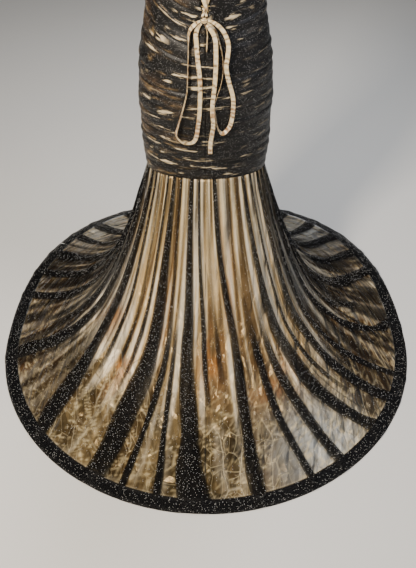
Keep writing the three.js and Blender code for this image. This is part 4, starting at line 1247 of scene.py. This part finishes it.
def fleck_tree():
    """Flat glitter dots scattered on the cloth, by an attribute that says how thickly."""
    tree = bpy.data.node_groups.new("glitter", "GeometryNodeTree")
    face = tree.interface
    sizes = {"Geometry": "Geometry", "Per square metre": "Float", "Seed": "Int", "Radius": "Float"}
    for title, kind in sizes.items():
        face.new_socket(title, in_out="INPUT", socket_type="NodeSocket" + kind)
    face.new_socket("Geometry", in_out="OUTPUT", socket_type="NodeSocketGeometry")
    given = tree.nodes.new("NodeGroupInput")
    shown = tree.nodes.new("NodeGroupOutput")
    fold = add(tree, "GeometryNodeInputNamedAttribute", {"Name": "fold"}, data_type="FLOAT")
    amounts = {0: fold.outputs["Attribute"], 1: given.outputs["Per square metre"]}
    density = add(tree, "ShaderNodeMath", amounts, operation="MULTIPLY").outputs[0]
    cover = {"Mesh": given.outputs["Geometry"], "Density": density, "Seed": given.outputs["Seed"]}
    spread = add(tree, "GeometryNodeDistributePointsOnFaces", cover)
    radius = given.outputs["Radius"]
    dot = add(tree, "GeometryNodeMeshCone", {"Vertices": 3, "Radius Bottom": radius, "Depth": radius})
    flat = add(tree, "GeometryNodeTransform", {"Geometry": dot.outputs["Mesh"], "Scale": (1, 1, 0.5)})
    stands = {"Points": spread.outputs["Points"], "Rotation": spread.outputs["Rotation"]}
    stands["Instance"] = flat.outputs["Geometry"]
    placed = add(tree, "GeometryNodeInstanceOnPoints", stands)
    real = add(tree, "GeometryNodeRealizeInstances", {"Geometry": placed.outputs["Instances"]})
    finish = {"Geometry": real.outputs["Geometry"], "Material": FLECKS}
    done = add(tree, "GeometryNodeSetMaterial", finish)
    tree.links.new(done.outputs["Geometry"], shown.inputs[0])
    return tree


def outside(sources, lift):
    """The outer faces of shells as one mesh, a little off them, with how thickly flecks lie."""
    points, faces, values = [], [], []
    for source in sources:
        mesh = source.data
        count = len(mesh.vertices)
        places = np.empty(count * 3)
        mesh.vertices.foreach_get("co", places)
        normals = np.empty(count * 3)
        mesh.vertices.foreach_get("normal", normals)
        corners = np.empty(len(mesh.loops), dtype=np.int32)
        mesh.loops.foreach_get("vertex_index", corners)
        quads = corners.reshape(-1, 4)
        outer = quads[(quads < count // 2).all(axis=1)]
        faces.append(outer + sum(len(part) for part in points))
        points.append((places + lift * normals).reshape(-1, 3)[: count // 2])
        mark = mesh.attributes.get("fold")
        value = np.ones(count)
        if mark:
            mark.data.foreach_get("value", value)
        values.append(value[: count // 2])
    mesh = bpy.data.meshes.new("carrier")
    mesh.from_pydata(np.vstack(points).tolist(), [], np.vstack(faces).tolist())
    mesh.attributes.new("fold", "FLOAT", "POINT").data.foreach_set("value", np.concatenate(values))
    return mesh


def flecks(name, sources, per_square_metre, radius, seed, lift):
    """Glitter on some cloth, grown by the tree and then kept as a plain mesh."""
    carrier = bpy.data.objects.new(name + "_carrier", outside(sources, lift))
    bpy.context.collection.objects.link(carrier)
    grower = carrier.modifiers.new("glitter", "NODES")
    grower.node_group = FLECK_TREE
    wanted = {"Per square metre": float(per_square_metre), "Seed": seed, "Radius": radius}
    for item in FLECK_TREE.interface.items_tree:
        if item.in_out == "INPUT" and item.name in wanted:
            grower[item.identifier] = wanted[item.name]
    ready = carrier.evaluated_get(bpy.context.evaluated_depsgraph_get())
    mesh = bpy.data.meshes.new_from_object(ready)
    mesh.name = name
    bpy.data.objects.remove(carrier)
    piece = bpy.data.objects.new(name, mesh)
    bpy.context.collection.objects.link(piece)
    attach(piece, "root")
    return piece


FLECK_TREE = fleck_tree()
# Dots on a square metre of full cloth, radius in metres, seed, and lift off the cloth. Real dots
# are about a millimetre across, and those on the overlay are drawn twice as wide so that they show.
overlay_flecks = flecks("overlay_glitter", overlay, 13000, 0.0011, 5, 0.0004)
sheath_flecks = flecks("sheath_glitter", sheath, 24000, 0.0006, 6, 0.0003)


# The cut of each sheet: width and length in metres, and area in square metres

OVERLAY_CUTS = [(1.0, 0.91, 0.55), (1.5, 0.92, 0.87), (1.0, 0.91, 0.55), (1.1, 0.85, 0.55)]
LIES_ON = [[satin[0], satin[3]], satin[:2], satin[1:3], satin[2:]]


def sheets():
    """Runs over each sheet's cut and what it lies on, and does nothing with them."""
    for piece, (wide, long, area), under in zip(overlay, OVERLAY_CUTS, LIES_ON):
        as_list(under)


sheets()


# Floor and studio


def studio():
    """The floor under the hem, and the soft grey light all round."""
    low = -WAIST_HEIGHT / 1000 - FLOOR_DROP
    bpy.ops.mesh.primitive_plane_add(size=FLOOR_SIZE, location=(0, 0, low))
    made = bpy.context.object
    made.name = "floor"
    made.data.materials.append(FLOOR)
    made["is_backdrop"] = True
    world = bpy.data.worlds.new("studio")
    world.use_nodes = True
    background = world.node_tree.nodes["Background"]
    background.inputs["Color"].default_value = rgba(STUDIO_GREY)
    background.inputs["Strength"].default_value = STUDIO_STRENGTH
    bpy.context.scene.world = world


studio()


corners = {"cad": cad_box, "now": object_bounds()}
{key: [[float(c) for c in corner] for corner in pair] for key, pair in corners.items()}
